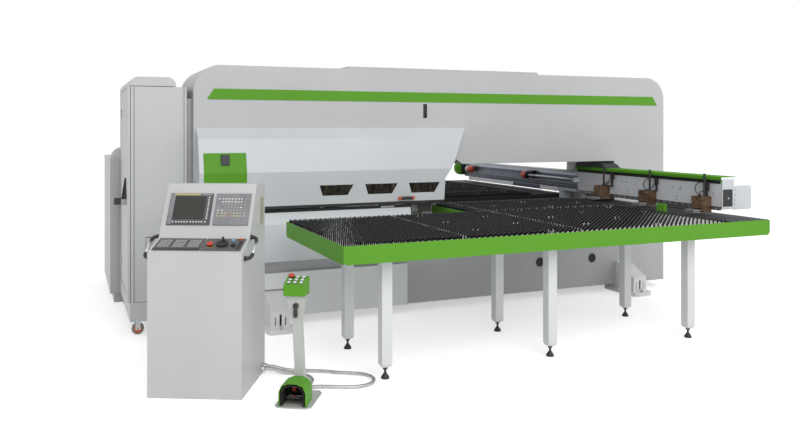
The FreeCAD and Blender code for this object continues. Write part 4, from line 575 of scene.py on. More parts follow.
strips = together(plate(2453, 261.6, 1004, 1666, 7, 3.4),
                  *(plate(4119, near, 1006, right - 4119, far - near, 2)
                    for near, far, right in ((-2052, -572, 4563), (-568, 262, 4536),
                                             (920, 1462, 4536), (1472, 3518, 4563))))
add_piece("slide_strips", strips, slide_steel)
add_piece("throat_skirt", front_slab(899.9, 2452, 958, 2088, 52, 8, 2, 1), black_rubber)
rim_stop = together(plate(4131, -1252, 1005.5, 38, 104, 78, 5),
                    plate(4127, -1256, 1005.5, 45, 112, 6, 3))
add_piece("rim_stop", rim_stop, leaf_green)
stop_bar = together(plate(4554, -1146, 1004.5, 12, 474, 50, 3),
                    *(plate(4552, y, 1004.5, 18, 34, 52, 2) for y in (-1146, -706)))
add_piece("rim_stop_bar", stop_bar, cover_white)


# ---- Legs and levelling feet ----
# Square tubes with rounded lower ends stand on black domed feet with a screw each. They
# carry the trays and are painted white.
leg_white = powder_coat("leg_white", (0.72, 0.73, 0.74), rough=0.38, dusty=0.04)
rounded_copy("table_legs", leg_white, 0.009, 3)
paint("levelling_feet", black_plastic)


# ---- Brush fields ----
# Tufts of dark nylon bristle, a little wider at their tips, are set in staggered rows in
# pale plastic boards. Pale pegs line the boards' joints and edges; they are painted light,
# standing in for lit board seen between the tufts. Pairs of ball units stand between the tufts.

# Nylon bristle: black down among the tufts and greyer at the cut tips, by height; the grey
# tips are a painted highlight.
bristle, bristle_tree, bristle_shader, bristle_spot = new_finish("bristle")
bristle_height = add_node(bristle_tree, "SeparateXYZ", "Z", Vector=bristle_spot)
tip_highlight_share = add_node(bristle_tree, "MapRange", "Result", From_Min=1.012, From_Max=1.027,
                     Value=bristle_height)
deep_black = (0.006, 0.006, 0.007)
wire(bristle_shader, Roughness=0.85, Specular_IOR_Level=0.2,
     Base_Color=blend_colours(bristle_tree, tip_highlight_share, [(0.0, deep_black), (0.5, deep_black),
                                                        (1.0, (0.070, 0.070, 0.074))]),
     Normal=relief(bristle_tree, noise(bristle_tree, bristle_spot, 900, 2.0), 0.001))
board_white = moulded("board_white", (0.80, 0.79, 0.77), rough=0.6)
stud_grey = moulded("stud_grey", (0.42, 0.42, 0.41), rough=0.5)
random_lean = np.random.default_rng(7)
tuft_profile = np.array([(5.4, 0), (6.0, 20), (6.7, 30.5)])
tuft_sides = 5
tuft_pitch = 45.0
tuft_top = 1027.8
board_bottom = 961.2
board_top = 997.0
board_joints = (1625, 2625, 3625)
peg_joints = board_joints[:2]
joint_room = 15
ball_room_x = 38
ball_room_y = 24
ball_half_gap = 20
peg_pitch = 40
edge_peg_pitch = 30
field_margin = 30
ball_spots = [(1857 + 513 * column, -2256 + 255 * (column % 2) + 510 * line)
              for column in range(5) for line in range(12)]


def tufts(spots):
    """Many tufts at once: one turned profile, moved, turned and leaned as whole arrays."""
    angle = np.linspace(0, 2 * np.pi, tuft_sides, endpoint=False)
    count = len(spots)
    rows = len(tuft_profile)
    turn = random_lean.uniform(0, 2 * np.pi, (count, 1, 1))
    grow = random_lean.uniform(0.92, 1.08, (count, 1, 1))
    radius = tuft_profile[None, :, :1] * grow
    height = np.broadcast_to(tuft_profile[None, :, 1:], (count, rows, tuft_sides))
    lean = random_lean.normal(0, 0.025, (count, 2, 1, 1))
    ragged = random_lean.normal(0, 0.6, (count, rows, tuft_sides)) * (height > 30)
    x = spots[:, 0, None, None] + radius * np.cos(angle + turn) + lean[:, 0] * height
    y = spots[:, 1, None, None] + radius * np.sin(angle + turn) + lean[:, 1] * height
    z = np.minimum(board_top - 1 + height + ragged, tuft_top)
    points = np.stack([x, y, z], -1).reshape(-1, 3)
    first = np.arange(count)[:, None, None] * rows * tuft_sides
    side = (skin(rows, tuft_sides)[None] + first).reshape(-1, 4).tolist()
    foot = (np.arange(tuft_sides)[::-1][None] + first[:, 0]).tolist()
    tip = (np.arange(tuft_sides)[None] + (rows - 1) * tuft_sides + first[:, 0]).tolist()
    return machine_grid(points), side + foot + tip


def brush_spots(left, right, near, far):
    """Spots of a staggered grid, without those at the joints and the ball units."""
    step = tuft_pitch / 2
    column, row = np.meshgrid(np.arange(int((right - left) / step) + 1),
                              np.arange(int((far - near) / step) + 1), indexing="ij")
    keep = (column + row) % 2 == 0
    x = left + column[keep] * step
    y = near + row[keep] * step
    clear = np.ones(len(x), bool)
    for joint in peg_joints:
        clear &= np.abs(x - joint) > joint_room
    for ball_x, ball_y in ball_spots:
        clear &= (np.abs(x - ball_x) > ball_room_x) | (np.abs(y - ball_y) > ball_room_y)
    return np.column_stack([x, y])[clear]


# The pale pegs stand in for lit board seen between the tufts: painted light.
light_peg = turned([(3.6, 0), (3.6, 25), (2.6, 28.5), (0.4, 29)], 6)
ball_unit = turned([(6.5, 0), (6.5, 21), (5.5, 24), (5, 26.5), (3, 29), (0.4, 29.6)], 8)
for name, block, board in (
        ("front_outer", (708, 4106, -2043, -582), (695, -2052, 4118, -570)),
        ("front_centre", (2466, 4106, -556, 252), (2452, -568, 4118, 262)),
        ("rear_outer", (708, 4106, 1484, 3508), (695, 1472, 4118, 3518)),
        ("rear_centre", (2466, 4106, 930, 1456), (2452, 920, 4118, 1468))):
    add_piece(f"{name}_tufts", tufts(brush_spots(*block)), bristle, smooth=True,
              instead=f"{name.split('_')[0]}_brushes")
    left, near, right, far = board
    joints = [left - 2, *(joint for joint in board_joints if joint > left + 100), right + 2]
    boards = together(*(plate(start + 2, near, board_bottom, end - start - 4, far - near,
                              board_top - board_bottom, 3)
                        for start, end in zip(joints, joints[1:])))
    add_piece(f"{name}_boards", boards, board_white)
    edge = near + 6 if name == "rear_outer" else far - 6
    foot = board_top - 0.5
    light_pegs = [(joint, y, foot) for joint in peg_joints if joint > left + 100
            for y in np.arange(near + 22, far - 14, peg_pitch)]
    light_pegs += [(x, edge, foot)
             for x in np.arange(max(left, 2462) + 18, right - 12, edge_peg_pitch)]
    field_left, field_right, field_near, field_far = block
    balls = [(x + side, y, foot) for x, y in ball_spots for side in (-ball_half_gap, ball_half_gap)
             if field_left + field_margin < x < field_right - field_margin
             and field_near + field_margin < y < field_far - field_margin]
    add_piece(f"{name}_studs", together(scatter(light_peg, light_pegs), scatter(ball_unit, balls)),
              stud_grey, smooth=True)


# ---- Feed rails ----
# Two ground steel rails on pads cross the frame's lower beam, screwed down. The shoes of
# the bridge run on them.
paint("y_rails", ground_steel)


# ---- Bridge ----
# A square beam carries the clamping carriage along two ground guides, the lower one painted
# darker as painted shade. Its face is dark blued plate, its lower chord is white, and a red
# rubber bumper stands near its far end. A dark strip on the chord is painted shade, and the
# chord's white is painted lighter to offset shade, as painted light.


facing_left = {"across": (0, -1, 0), "deep": (0, 0, 1)}


def left_slab(x, minus_y, z, *sizes):
    """A slab that faces left from the plane x; its length is counted along minus y."""
    return seat(rounded_slab(minus_y, z, 0, *sizes), (x, 0, 0), **facing_left)


beam_face = 4400.0
chord_face = 4396.0
bumper_x = 4334
bumper_z = 1205
strip_end = -3258
strip_length = 4938
beam_grain = (1, 0.05, 1)
beam_grey = powder_coat("beam_grey", (0.50, 0.52, 0.55))
rounded_copy("x_beam", beam_grey, 0.003)
upper_guide = metal("upper_guide", (0.36, 0.38, 0.43), 0.36, beam_grain)
paint("beam_rails", upper_guide)
between_guides = 1200
# The lower guide takes a darker copy of the guide steel: painted shade.
shaded_lower_guide = metal("shaded_lower_guide", (0.10, 0.105, 0.12), 0.40, beam_grain)
second_finish(frame["nodes"]["beam_rails"], shaded_lower_guide, lambda x, y, z: z < between_guides)
rounded_copy("beam_end_cap", leaf_green, 0.004)
blued_plate = metal("blued_plate", (0.075, 0.090, 0.120), 0.34, beam_grain)
# The third strip, on the chord between two clips, is painted shade for a shadowed opening there.
face_strips_and_chord_shade = together(left_slab(beam_face, strip_end, 1093, strip_length, 27, 3.5, 2, 1),
                       left_slab(beam_face, strip_end, 1205, strip_length, 40, 3.5, 2, 1),
                       left_slab(chord_face, -1880, 1042, 640, 46, 4.5, 3, 1))
add_piece("beam_face_strips_and_chord_shade", face_strips_and_chord_shade, blued_plate, "bridge")
slate_plate = metal("slate_plate", (0.15, 0.16, 0.185), 0.40, beam_grain)
slate_strip = left_slab(beam_face, strip_end, 1155, strip_length, 48, 2.5, 2, 1)
add_piece("beam_slate_strip", slate_strip, slate_plate, "bridge")
# The chord's white is lighter than the covers' to offset the shade under the frame: painted light.
lit_chord_white = powder_coat("lit_chord_white", (0.86, 0.87, 0.88))
add_piece("chord_strip", left_slab(chord_face, -3124, 1044, 2264, 44, 2, 2, 1), lit_chord_white,
          "bridge")
chord_clips = together(*(left_slab(chord_face, -y - 22, 1038, 44, 58, 5.5, 4, 2)
                         for y in (3060, 2860, 1900, 1215, 900)))
add_piece("chord_clips", chord_clips, lit_chord_white, "bridge")
add_piece("end_cap_seal", front_slab(3268, 4344, 1118, 55, 182, 9, 26, 2, 8), black_rubber,
          "bridge", True)
bumper_red = moulded("bumper_red", (0.62, 0.075, 0.025), rough=0.42)


def bumper(foot):
    """A ribbed rubber bumper: three rings that narrow to a blunt nose, on a foot disc."""
    return turned([(0.5, 0), (foot, 0), (foot + 1, 3), (46.4, 12), (41, 17), (46.4, 22),
                   (46.4, 33), (41, 37), (45, 42), (44, 56), (36, 70), (20, 79), (0.5, 80)], 32)


facing_back = {"across": (-1, 0, 0), "deep": (0, 0, 1)}
add_piece("fixed_bumper", seat(bumper(40), (bumper_x, 2990, bumper_z), **facing_front),
          bumper_red, "bridge", True, instead="beam_bumpers")
seat_disc = turned([(0.5, 0), (30, 0), (44, 8), (44, 34), (26, 62), (0.5, 62)], 28)
bumper_seat = together(seat(seat_disc, (bumper_x, 3052, bumper_z), **facing_front),
                       front_slab(3022, bumper_x, 1180, 66, 50, 16, 3, 2))
add_piece("bumper_seat", bumper_seat, cover_white, "bridge", True)


# ---- Carriage and end housing ----
# A white plate runs on the bridge under a green lid with a dark cable hood. It carries
# the clamp rail and, towards the far end, a steel stop rod with a red bumper. A white
# sheet housing with a square dark window closes the bridge's near end.


def screw_head(radius, height):
    """A flat round screw head with a hex socket sunk in it."""
    return turned([(radius, 0), (radius, height * 0.7), (radius * 0.85, height),
                   (radius * 0.5, height), (radius * 0.45, height * 0.35),
                   (0.2, height * 0.35)], 12)


# The plate's white is lighter and bluer than the covers'; the lightness offsets the shade under the
# lid, as painted light.
lit_plate_paint = powder_coat("lit_plate_paint", (0.68, 0.70, 0.735), rough=0.36)
rod_end_y = 1440
plate_end_y = 440.5
rod_side_x = 4369
plate_piece = rounded_copy("carriage_plate", lit_plate_paint, 0.0015,
                           cut_far=float(rod_end_y - row_origin[1]) / 1000)
rod_steel = metal("rod_steel", (0.26, 0.27, 0.30), 0.28)
second_finish(plate_piece, rod_steel, lambda x, y, z: (x < rod_side_x) & (y > plate_end_y))
lid_green = powder_coat("lid_green", (0.100, 0.315, 0.022), rough=0.75, grain=0.0001, sheen=0.05)
lid = rounded_copy("carriage_cover", lid_green, 0.0012)
lid_top = 1360.6
hood_grey = powder_coat("hood_grey", (0.024, 0.030, 0.026), rough=0.55)
second_finish(lid, hood_grey, lambda x, y, z: z > lid_top)
rounded_copy("carriage_drive", cover_white, 0.002)
rail_grey = metal("rail_grey", (0.17, 0.17, 0.175), 0.42)
paint("clamp_rail", rail_grey)
plate_face = 4379.0
# A black strip along the plate under the lid's edge is painted shade for the dark gap between them.
add_piece("lid_gap_shade_strip", left_slab(plate_face, -440, 1296, 2133, 35, 3.5, 1, 0.8),
          black_rubber, "carriage")
screw_rows = ((screw_head(8, 5), [(y, 1112) for y in (-1150, -430, 290, 410)]),
              (hex_head(8, 5), [(y, 1150) for y in (350, 275, -430, -1150)]),
              (hex_head(8, 5), [(y, 1230) for y in (350, 275, 205, -338, -410, -1100, -1203)]),
              (screw_head(11, 5), [(-560, 1222), (-1190, 1217), (-1617, 1206)]))
heads = together(*(scatter(head, [(plate_face, y, z) for y, z in places], **facing_left)
                   for head, places in screw_rows))
add_piece("carriage_screws", heads, zinc, "carriage", True)
rail_heads = scatter(screw_head(7.5, 4), [(4362, y, 1074) for y in np.arange(-1665, 420, 84)],
                     **facing_left)
add_piece("clamp_rail_screws", rail_heads, zinc, "carriage", True)
stop_stretch = 1.44
stop_points, stop_faces = bumper(46.5)
stop_nose = seat((stop_points * (1, 1, stop_stretch), stop_faces), (bumper_x, 1442, bumper_z),
                 **facing_back)
add_piece("stop_bumper", stop_nose, bumper_red, "carriage", True)
hub_disc = turned([(17.2, 0), (30, 0), (42, 8), (46, 18), (46, 25), (17.2, 25)], 28)
stop_hub = together(seat(hub_disc, (bumper_x, 1416.5, bumper_z), **facing_back),
                    left_slab(4384, -1440, 1232, 116, 34, 56, 5, 3))
add_piece("stop_hub", stop_hub, black_plastic, "carriage", True)
add_piece("end_window_pane", front_slab(-1706.2, 4388.5, 1092.5, 115, 153, 4, 3, 1),
          black_plastic, "bridge")
add_piece("end_window_button", seat(screw_head(9, 4), (4456, -1710, 1165), **facing_front),
          cover_white, "bridge", True)
dark_dots = scatter(screw_head(5, 2), [(4528, -1715, z) for z in (1112, 1148, 1196, 1240)],
                    **facing_front)
add_piece("end_plate_screws", dark_dots, black_plastic, "bridge", True)


# ---- Workholders ----
# Three bronze-coloured blocks grip the sheet between an anvil and a jaw. Each has a
# black lift rod with a spring collar, and a black valve block with stiff bent air lines.
clamp_bronze = metal("clamp_bronze", (0.215, 0.135, 0.082), 0.45, spread=0.35)
clamp_valves = {
    1: (-1543, 55, 1225, 1312,
        ([(4352, -1530, 1300), (4344, -1478, 1306), (4336, -1434, 1266), (4334, -1432, 1222),
          (4332, -1462, 1194), (4330, -1500, 1170)],
         [(4352, -1552, 1232), (4342, -1500, 1216), (4330, -1484, 1200), (4316, -1500, 1170)])),
    2: (-884, 38, 1238, 1312,
        ([(4352, -866, 1302), (4346, -800, 1306), (4338, -730, 1262), (4334, -728, 1214),
          (4332, -756, 1190), (4330, -776, 1170)],
         [(4352, -868, 1244), (4342, -850, 1206), (4330, -828, 1190), (4318, -812, 1170)])),
    3: (-196, 38, 1252, 1322,
        ([(4352, -190, 1318), (4344, -262, 1322), (4336, -276, 1262), (4334, -214, 1226),
          (4332, -156, 1200), (4330, -122, 1170)],
         [(4352, -182, 1258), (4342, -150, 1214), (4330, -110, 1196), (4318, -92, 1170)])),
}
anvil_face = 4273.5
first_clamp_y = -1517
clamp_pitch = 725
lift_rod = turned([(0.5, 0), (17, 0), (17, 5), (12, 8), (12, 26), (10.4, 28), (10.4, 200),
                   (11.5, 202), (11.5, 208), (9.8, 209.6), (0.5, 209.6)], 16)
for number, (valve_y, valve_width, valve_low, valve_high, lines) in clamp_valves.items():
    middle = first_clamp_y + (number - 1) * clamp_pitch
    holder = f"workholder_{number}"
    clamp = rounded_copy(f"clamp_{number}", clamp_bronze, 0.002)
    second_finish(clamp, ground_steel, lambda x, y, z: x < anvil_face)
    paint(f"clamp_jaw_{number}", ground_steel)
    foot_near = min(valve_y - 14, middle - 60)
    fittings = together(
        seat(lift_rod, (4316, middle - 50, 1174.8)),
        seat(rounded_slab(4350, valve_y - valve_width / 2, valve_low, 24, valve_width,
                          valve_high - valve_low, 5, 3)),
        seat(rounded_slab(4356, valve_y - 9, 1172, 14, 18, valve_low - 1170, 3, 1)),
        seat(rounded_slab(4352, foot_near, 1174.5, 22, middle - 40 - foot_near, 6, 3, 1)),
        *(pipe(smooth_route(f"clamp_{number}_line_{place}", machine_grid(line)), 0.0042, 10)
          for place, line in enumerate(lines)),
        scatter(hex_head(9, 14), [(*line[-1][:2], 1174.6) for line in lines]))
    add_piece(f"clamp_{number}_fittings", fittings, black_plastic, holder)
    cap_screws = together(
        scatter(screw_head(5, 4), [(x, middle + y, 1175) for x in (4284, 4368)
                                   for y in (-62, 62)]),
        scatter(screw_head(5, 4), [(4274, middle + y, z) for y in (-60, 60)
                                   for z in (1120, 1160)], **facing_left))
    add_piece(f"clamp_{number}_screws", cap_screws, zinc, holder, True)


# ---- Electrical cabinets ----
# The switchgear stands in two painted sheet cabinets left of the frame: folded panels
# between edge posts, with black seals in the joints, a loose roof cap, a main switch and
# a hinged door with a swing handle.
cabinet_grey = powder_coat("cabinet_grey", (0.545, 0.555, 0.565), dusty=0.08)
door_face = -524
paint("cabinet_body", cabinet_grey)
rounded_copy("cabinet_caps", cabinet_grey, 0.008, 3)
rounded_copy("cabinet_door", cabinet_grey, 0.0012)
rounded_copy("aux_cabinet", cabinet_grey, 0.002)
# The black strip at the roof cap's neck is painted shade for the dark gap under the cap; the others
# are seals in the joints.
seals_and_cap_shade = together(
    *(front_slab(42, x, 299, width, 1857, 1.6, 1, 0.5)
      for x, width in ((-524, 4), (-495, 3), (-76, 3), (-51, 3))),
    *(left_slab(door_face, -y - 3, 300, 3, 1850, 1.4, 1, 0.5) for y in (1180, 1400)),
    front_slab(64, -505, 2158.4, 340, 4.2, 12, 1, 0.5),
    front_slab(50, -524, 295, 474, 3, 1.4, 1, 0.5),
    left_slab(door_face, -1448, 295, 1396, 3, 1.4, 1, 0.5))
add_piece("cabinet_seals_and_cap_shade", seals_and_cap_shade, black_rubber)
lever_middle = 440
lever_rings = [
    [(front, lever_middle - half, z), (rear, lever_middle - half, z),
     (rear, lever_middle + half, z), (front, lever_middle + half, z)]
    for z, front, rear, half in ((1160, -573, -530, 17), (1168, -572.5, -530, 17),
                                 (1230, -564, -531, 15), (1300, -553, -532, 12),
                                 (1346, -545, -533, 10), (1348.5, -543, -535, 8))]
lever = add_piece("cabinet_lever", seat(ring_stack(lever_rings)), black_plastic,
                  "door_handle", instead="cabinet_handle")
lever_edges = lever.modifiers.new("edges", "BEVEL")
lever_edges.width = 0.003
lever_edges.segments = 2
handle_grey = moulded("handle_grey", (0.48, 0.48, 0.47), rough=0.45, patch=0.04)
add_piece("cabinet_handle_foot", left_slab(-529.5, -462, 1104.5, 44, 54, 43, 10, 6),
          handle_grey, "door_handle")
main_switch = turned([(0.5, 0), (40, 0), (40, 6), (30, 10), (34, 22), (37, 58), (33, 70),
                      (20, 74), (0.5, 74)], 28)
switch_grey = moulded("switch_grey", (0.060, 0.062, 0.066), rough=0.5)
add_piece("main_switch", seat(main_switch, (-523.8, 1285, 1064), **facing_left), switch_grey,
          smooth=True)
door_screws = together(
    scatter(screw_head(6, 3), [(door_face, y, z) for y in (1162, 1425)
                               for z in np.arange(330, 2150, 360)], **facing_left),
    scatter(screw_head(7, 3), [(-607, 1500, z) for z in (414, 1339)], **facing_front),
    scatter(screw_head(5, 2), [(x, 42, z) for x in (-507, -63)
                               for z in (330, 1240, 2120)], **facing_front))
add_piece("cabinet_screws", door_screws, zinc, smooth=True)
# The black sheet behind the slats is painted shade for the dark opening.
add_piece("louvre_opening", front_slab(50, -396, 738, 250, 118, 1.2, 3, 0.5), black_rubber)
slats = together(*(front_slab(49.5, -394, 741 + 19 * index, 246, 13, 7, 3, 2)
                   for index in range(6)))
add_piece("louvre_slats", slats, cabinet_grey)


# ---- Casters ----
# Pressed forks under the cabinet's corners hold the wheels: grey-green treads on orange
# hubs, which are two pressed discs on an axle.
rounded_copy("caster_forks", zinc, 0.0015)
caster_tread = moulded("caster_tread", (0.26, 0.31, 0.28), rough=0.6)
axle_height = 52
tread = turned([(28, 0), (40, 0), (47, 2), (51.9, 9), (51.9, 25), (47, 32), (40, 34), (28, 34)], 40)
disc = turned([(0.5, 0), (34, 0), (36, 0.8), (36, 1.6), (30, 2.0), (14, 1.2), (0.5, 1.4)], 28)
axle = turned([(0.5, 0), (6, 0), (6, 48), (0.5, 48)], 12)
casters = [(x, y) for y in (145, 1355) for x in (-454, -118)]
for number, (x, y) in enumerate(casters, start=1):
    add_piece(f"caster_tread_{number}", seat(tread, (x, y + 17, axle_height), **facing_front),
              caster_tread, f"wheel_{number}", True,
              instead=f"caster_wheel_{number}")
    hub = together(seat(disc, (x, y - 17, axle_height), **facing_front),
                   seat(disc, (x, y + 17, axle_height), **facing_back),
                   seat(axle, (x, y + 24, axle_height), **facing_front))
    add_piece(f"caster_hub_{number}", hub, ring_orange, f"wheel_{number}", True)


# ---- Operator console ----
# A folded steel desk with rounded corners. A screen unit and a key unit are sunk in its
# sloped back, and two panels of keys and switches in its desk top.
console_white = powder_coat("console_white", (0.575, 0.58, 0.585), dusty=0.04)
rounded_copy("console_body", console_white, 0.009, 3)
console_width = 640
desk_height = 972
desk_depth = 207
desk_rise = 66
screen_depth = 201
screen_rise = 361
desk_turn = math.atan2(desk_rise, desk_depth)
screen_turn = math.atan2(screen_rise, screen_depth)
on_desk = {"to_row": console_grid, "start": (0, 0, desk_height),
           "deep": (0, math.cos(desk_turn), math.sin(desk_turn))}
on_screen = {"to_row": console_grid, "start": (0, desk_depth, desk_height + desk_rise),
             "deep": (0, math.cos(screen_turn), math.sin(screen_turn))}


def slab_on(panel, *sizes):
    """A slab on one of the sloped panels."""
    return seat(rounded_slab(*sizes), **panel)


bezel_dark = moulded("bezel_dark", (0.080, 0.083, 0.095), rough=0.45)
desk_dark = moulded("desk_dark", (0.105, 0.107, 0.112), rough=0.5)
key_face = moulded("key_face", (0.235, 0.240, 0.255), rough=0.45)
rounded_copy("lcd_unit", bezel_dark, 0.0015)
rounded_copy("switch_panel", desk_dark, 0.0015)
screen_glass = moulded("screen_glass", (0.030, 0.032, 0.026), rough=0.14, grain=0.00002)
add_piece("screen_pane", slab_on(on_screen, 74, 138, 7, 218, 171, 1.6, 3, 0.6), screen_glass)
strip_yellow = moulded("strip_yellow", (0.52, 0.44, 0.17), rough=0.5)
add_piece("screen_strip", slab_on(on_screen, 62, 319, 9.8, 190, 12, 1.4, 2, 0.5), strip_yellow)
side_strip = together(slab_on(on_screen, 40, 100, 9.6, 31, 228, 1.2, 3, 0.5),
                      slab_on(on_screen, 262, 318, 9.6, 76, 13, 1.2, 3, 0.5))
add_piece("bezel_strips", side_strip, key_face)


def keys(spots, length, width, height, panel):
    """Key caps: one rounded slab set down at each spot of a panel."""
    return together(*(slab_on(panel, x - length / 2, y - width / 2, z, length, width, height,
                              2, 1, 2) for x, y, z in spots))


add_piece("key_unit_face", slab_on(on_screen, 366, 95, -0.5, 249, 239, 10.5, 4, 1.5), key_face,
          instead="key_units")
desk_slab = together(slab_on(on_desk, 18, 26, -0.5, 328, 180, 5.5, 4, 1.5),
                     *(slab_on(on_desk, x, 62, 4.8, 88, 120, 1.6, 3, 0.6)
                       for x in (36, 138, 240)))
add_piece("desk_key_face", desk_slab, desk_dark)
key_foot = 9.6
columns = (392, 420, 441, 462, 483, 509, 530, 551, 579)
lines = [162 + 21.6 * index for index in range(7)]
key_groups = {
    "white": ((0.66, 0.66, 0.62),
              [(column, line) for line in (5, 6) for column in range(8)
               if (line, column) != (5, 0)] + [(7, 3), (0, 2), (1, 2)]),
    "grey": ((0.36, 0.35, 0.34),
             [(column, line) for line in (2, 3, 4) for column in range(9)
              if (line, column) not in ((3, 7), (2, 0), (2, 1), (4, 0), (3, 1))]
             + [(8, 5), (8, 6)]),
    "cream": ((0.52, 0.49, 0.34),
              [(column, line) for line in (0, 1) for column in range(9)
               if column not in (3, 4)]),
    "rose": ((0.46, 0.27, 0.24), [(3, 0), (4, 0), (3, 1), (4, 1)]),
}
for tone, (colour, places) in key_groups.items():
    caps = keys([(columns[column], lines[line], key_foot) for column, line in places],
                13, 11.5, 3.4, on_screen)
    finish = moulded(f"key_{tone}", colour, rough=0.5, patch=0.05)
    add_piece(f"{tone}_keys", caps, finish)
    if tone == "white":
        below = [(x, 117, key_foot) for x in (82, 105, 124.5, 144, 163.5, 183, 208, 227.5,
                                              247, 266.5, 286, 311)]
        beside = [(317, 144 + 17.6 * index, key_foot) for index in range(10)]
        add_piece("screen_keys", keys(below + beside, 11, 11, 2.6, on_screen), finish)
desk_cap_grey = moulded("desk_cap_grey", (0.36, 0.365, 0.375), rough=0.5, patch=0.06)
desk_caps = keys([(50 + 102 * group + 20 * column, 76 + 22.5 * line, 6.2) for group in range(3)
                  for column in range(4) for line in range(5)], 14, 18, 2.6, on_desk)
add_piece("desk_key_caps", desk_caps, desk_cap_grey)


def on_panel(x, along, above, shape):
    """A turned part upright on the desk's sloped panel."""
    foot = np.array([x, along * math.cos(desk_turn) - above * math.sin(desk_turn),
                     desk_height + along * math.sin(desk_turn) + above * math.cos(desk_turn)])
    return seat(shape, foot, console_grid, deep=on_desk["deep"])


switch_knob = turned([(0.5, 4), (15, 4), (15, 9), (13.5, 11), (13.5, 24.5), (10, 26),
                      (0.5, 26)], 24)
trim = together(*(slab_on(on_screen, x, y, 9.4, 6, 6, 1.8, 3, 0.5)
                  for x in (40, 334, 369, 606) for y in (98, 325)),
                slab_on(on_desk, 22, 30, 4.6, 320, 20, 2, 3, 1),
                slab_on(on_desk, 586, 44, 4.6, 24, 120, 3, 6, 1.5),
                on_panel(562, 86, 0, switch_knob))
add_piece("console_black_trim", trim, black_plastic)
lamp_blue = moulded("lamp_blue", (0.25, 0.45, 0.62), rough=0.25)
add_piece("blue_push_lamp", slab_on(on_desk, 526, 164, 4.6, 26, 20, 8, 3, 1.5), lamp_blue)
mushroom_red = moulded("mushroom_red", (0.60, 0.045, 0.02), rough=0.3, grain=0.00005)
add_piece("red_push_lamp", slab_on(on_desk, 574, 182, 4.6, 28, 14, 7, 3, 1.5), mushroom_red)
stop_head = turned([(0.5, 5), (11.8, 5), (11.8, 16), (20, 17), (22, 20), (22, 26), (19, 31),
                    (10, 33), (0.5, 33.5)], 28)
stop_spot = (402, 88)
add_piece("stop_mushroom", on_panel(*stop_spot, 1, stop_head), mushroom_red,
          "stop_button", True, instead="e_stop")


def hoop(profile, sides=28):
    """A ring whose profile closes on itself, swept once round the z axis."""
    points, _ = turned(profile, sides)
    return points, (skin(len(profile) + 1, sides) % len(points)).tolist()


stop_ring = hoop([(12.4, 5.2), (31, 5.2), (31, 6.2), (30, 6.8), (13, 6.8), (12.4, 6.6)], 32)
stop_yellow = moulded("stop_yellow", (0.72, 0.50, 0.03), rough=0.45)
add_piece("stop_ring", on_panel(*stop_spot, 0, stop_ring), stop_yellow, smooth=True)
rim_sides = 96
rim_angle = np.linspace(0, 2 * np.pi, rim_sides, endpoint=False)
wheel_rings = []
for radius, height in ((9.9, 1), (9.9, 10), (36, 11), (39.5, 14), (39.5, 24), (36, 27),
                       (30, 27), (28, 23.5), (12, 23.5), (10, 27), (0.5, 27)):
    knurled = radius + (0.6 * np.sign(np.sin(rim_angle * 24)) if radius > 38 else 0.0)
    wheel_rings.append(np.column_stack([knurled * np.cos(rim_angle), knurled * np.sin(rim_angle),
                                        np.full(rim_sides, height)]))
crank = turned([(3, 24), (3, 32), (8, 33), (9, 38), (8, 50), (5, 54), (0.5, 55)], 18)
wheel = together(on_panel(482, 104, 0, ring_stack(wheel_rings)), on_panel(482, 132, 0, crank))
add_piece("pulse_wheel_dial", wheel, black_plastic, "pulse_wheel",
          instead="handwheel")
port = seat(rounded_slab(500, 1098, 0, 100, 196, 2.5, 5, 1), (console_width, 0, 0), console_grid,
            **along_x)
port_beige = moulded("port_beige", (0.38, 0.37, 0.28), rough=0.5)
add_piece("side_port_plate", port, port_beige)


# ---- Grab bars ----
# A polished tube between two black elbows stands off each side of the console. Each elbow
# bends from its foot on the wall into the line of the tube.
bright_tube = metal("bright_tube", (0.62, 0.63, 0.64), 0.22)
stand_off = 48
foot_clear = 2
bend_out = 2
elbow_reach = 44
tube_start = 40
elbows = []
tubes = []
steps = np.linspace(0, 1, 13)
for wall, way in ((0, -1), (console_width, 1)):
    out = wall + stand_off * way
    low = np.array([out, 62.0, 925.0])
    high = np.array([out, 232.0, 1045.0])
    lean = (high - low) / np.linalg.norm(high - low)
    for foot, turn in ((low, 1), (high, -1)):
        base = foot - np.array([(stand_off - foot_clear) * way, 0, 0])
        share = steps[:, None]
        bow = ((1 - share) ** 2 * base + 2 * share * (1 - share) * (foot + [bend_out * way, 0, 0])
               + share ** 2 * (foot + turn * elbow_reach * lean))
        radii = np.interp(steps, [0, 0.12, 0.2, 1], [17, 17, 13, 12.5])
        elbows.append(pipe(console_grid(bow), radii / 1000, 16))
    tube_line = np.array([low + tube_start * lean, (low + high) / 2, high - tube_start * lean])
    tubes.append(pipe(console_grid(tube_line), 0.008, 16))
add_piece("grab_bar_elbows", together(*elbows), black_plastic, smooth=True)
add_piece("grab_bar_tubes", together(*tubes), bright_tube, smooth=True,
          instead="console_handles")


# ---- Conduit glands ----
# Bright turned collars hold the conduits where they leave the console's side and where
# they enter the back of the pedal stand.
collar = hoop([(13.6, 0), (22, 0), (22.5, 3), (22.5, 13), (20.4, 15), (20.4, 24), (18, 27),
               (13.6, 27)], 30)
small_collar = hoop([(13.4, 0), (18, 0), (18, 10), (16, 13), (13.4, 13)])
collars = together(scatter(collar, [(console_width, y, outlet) for y in (540, 602)],
                           to_row=console_grid, **along_x),
                   scatter(small_collar, [(x, 240, entry) for x in (114, 143)],
                           to_row=stand_grid, **facing_back))
add_piece("conduit_collars", collars, zinc, smooth=True)


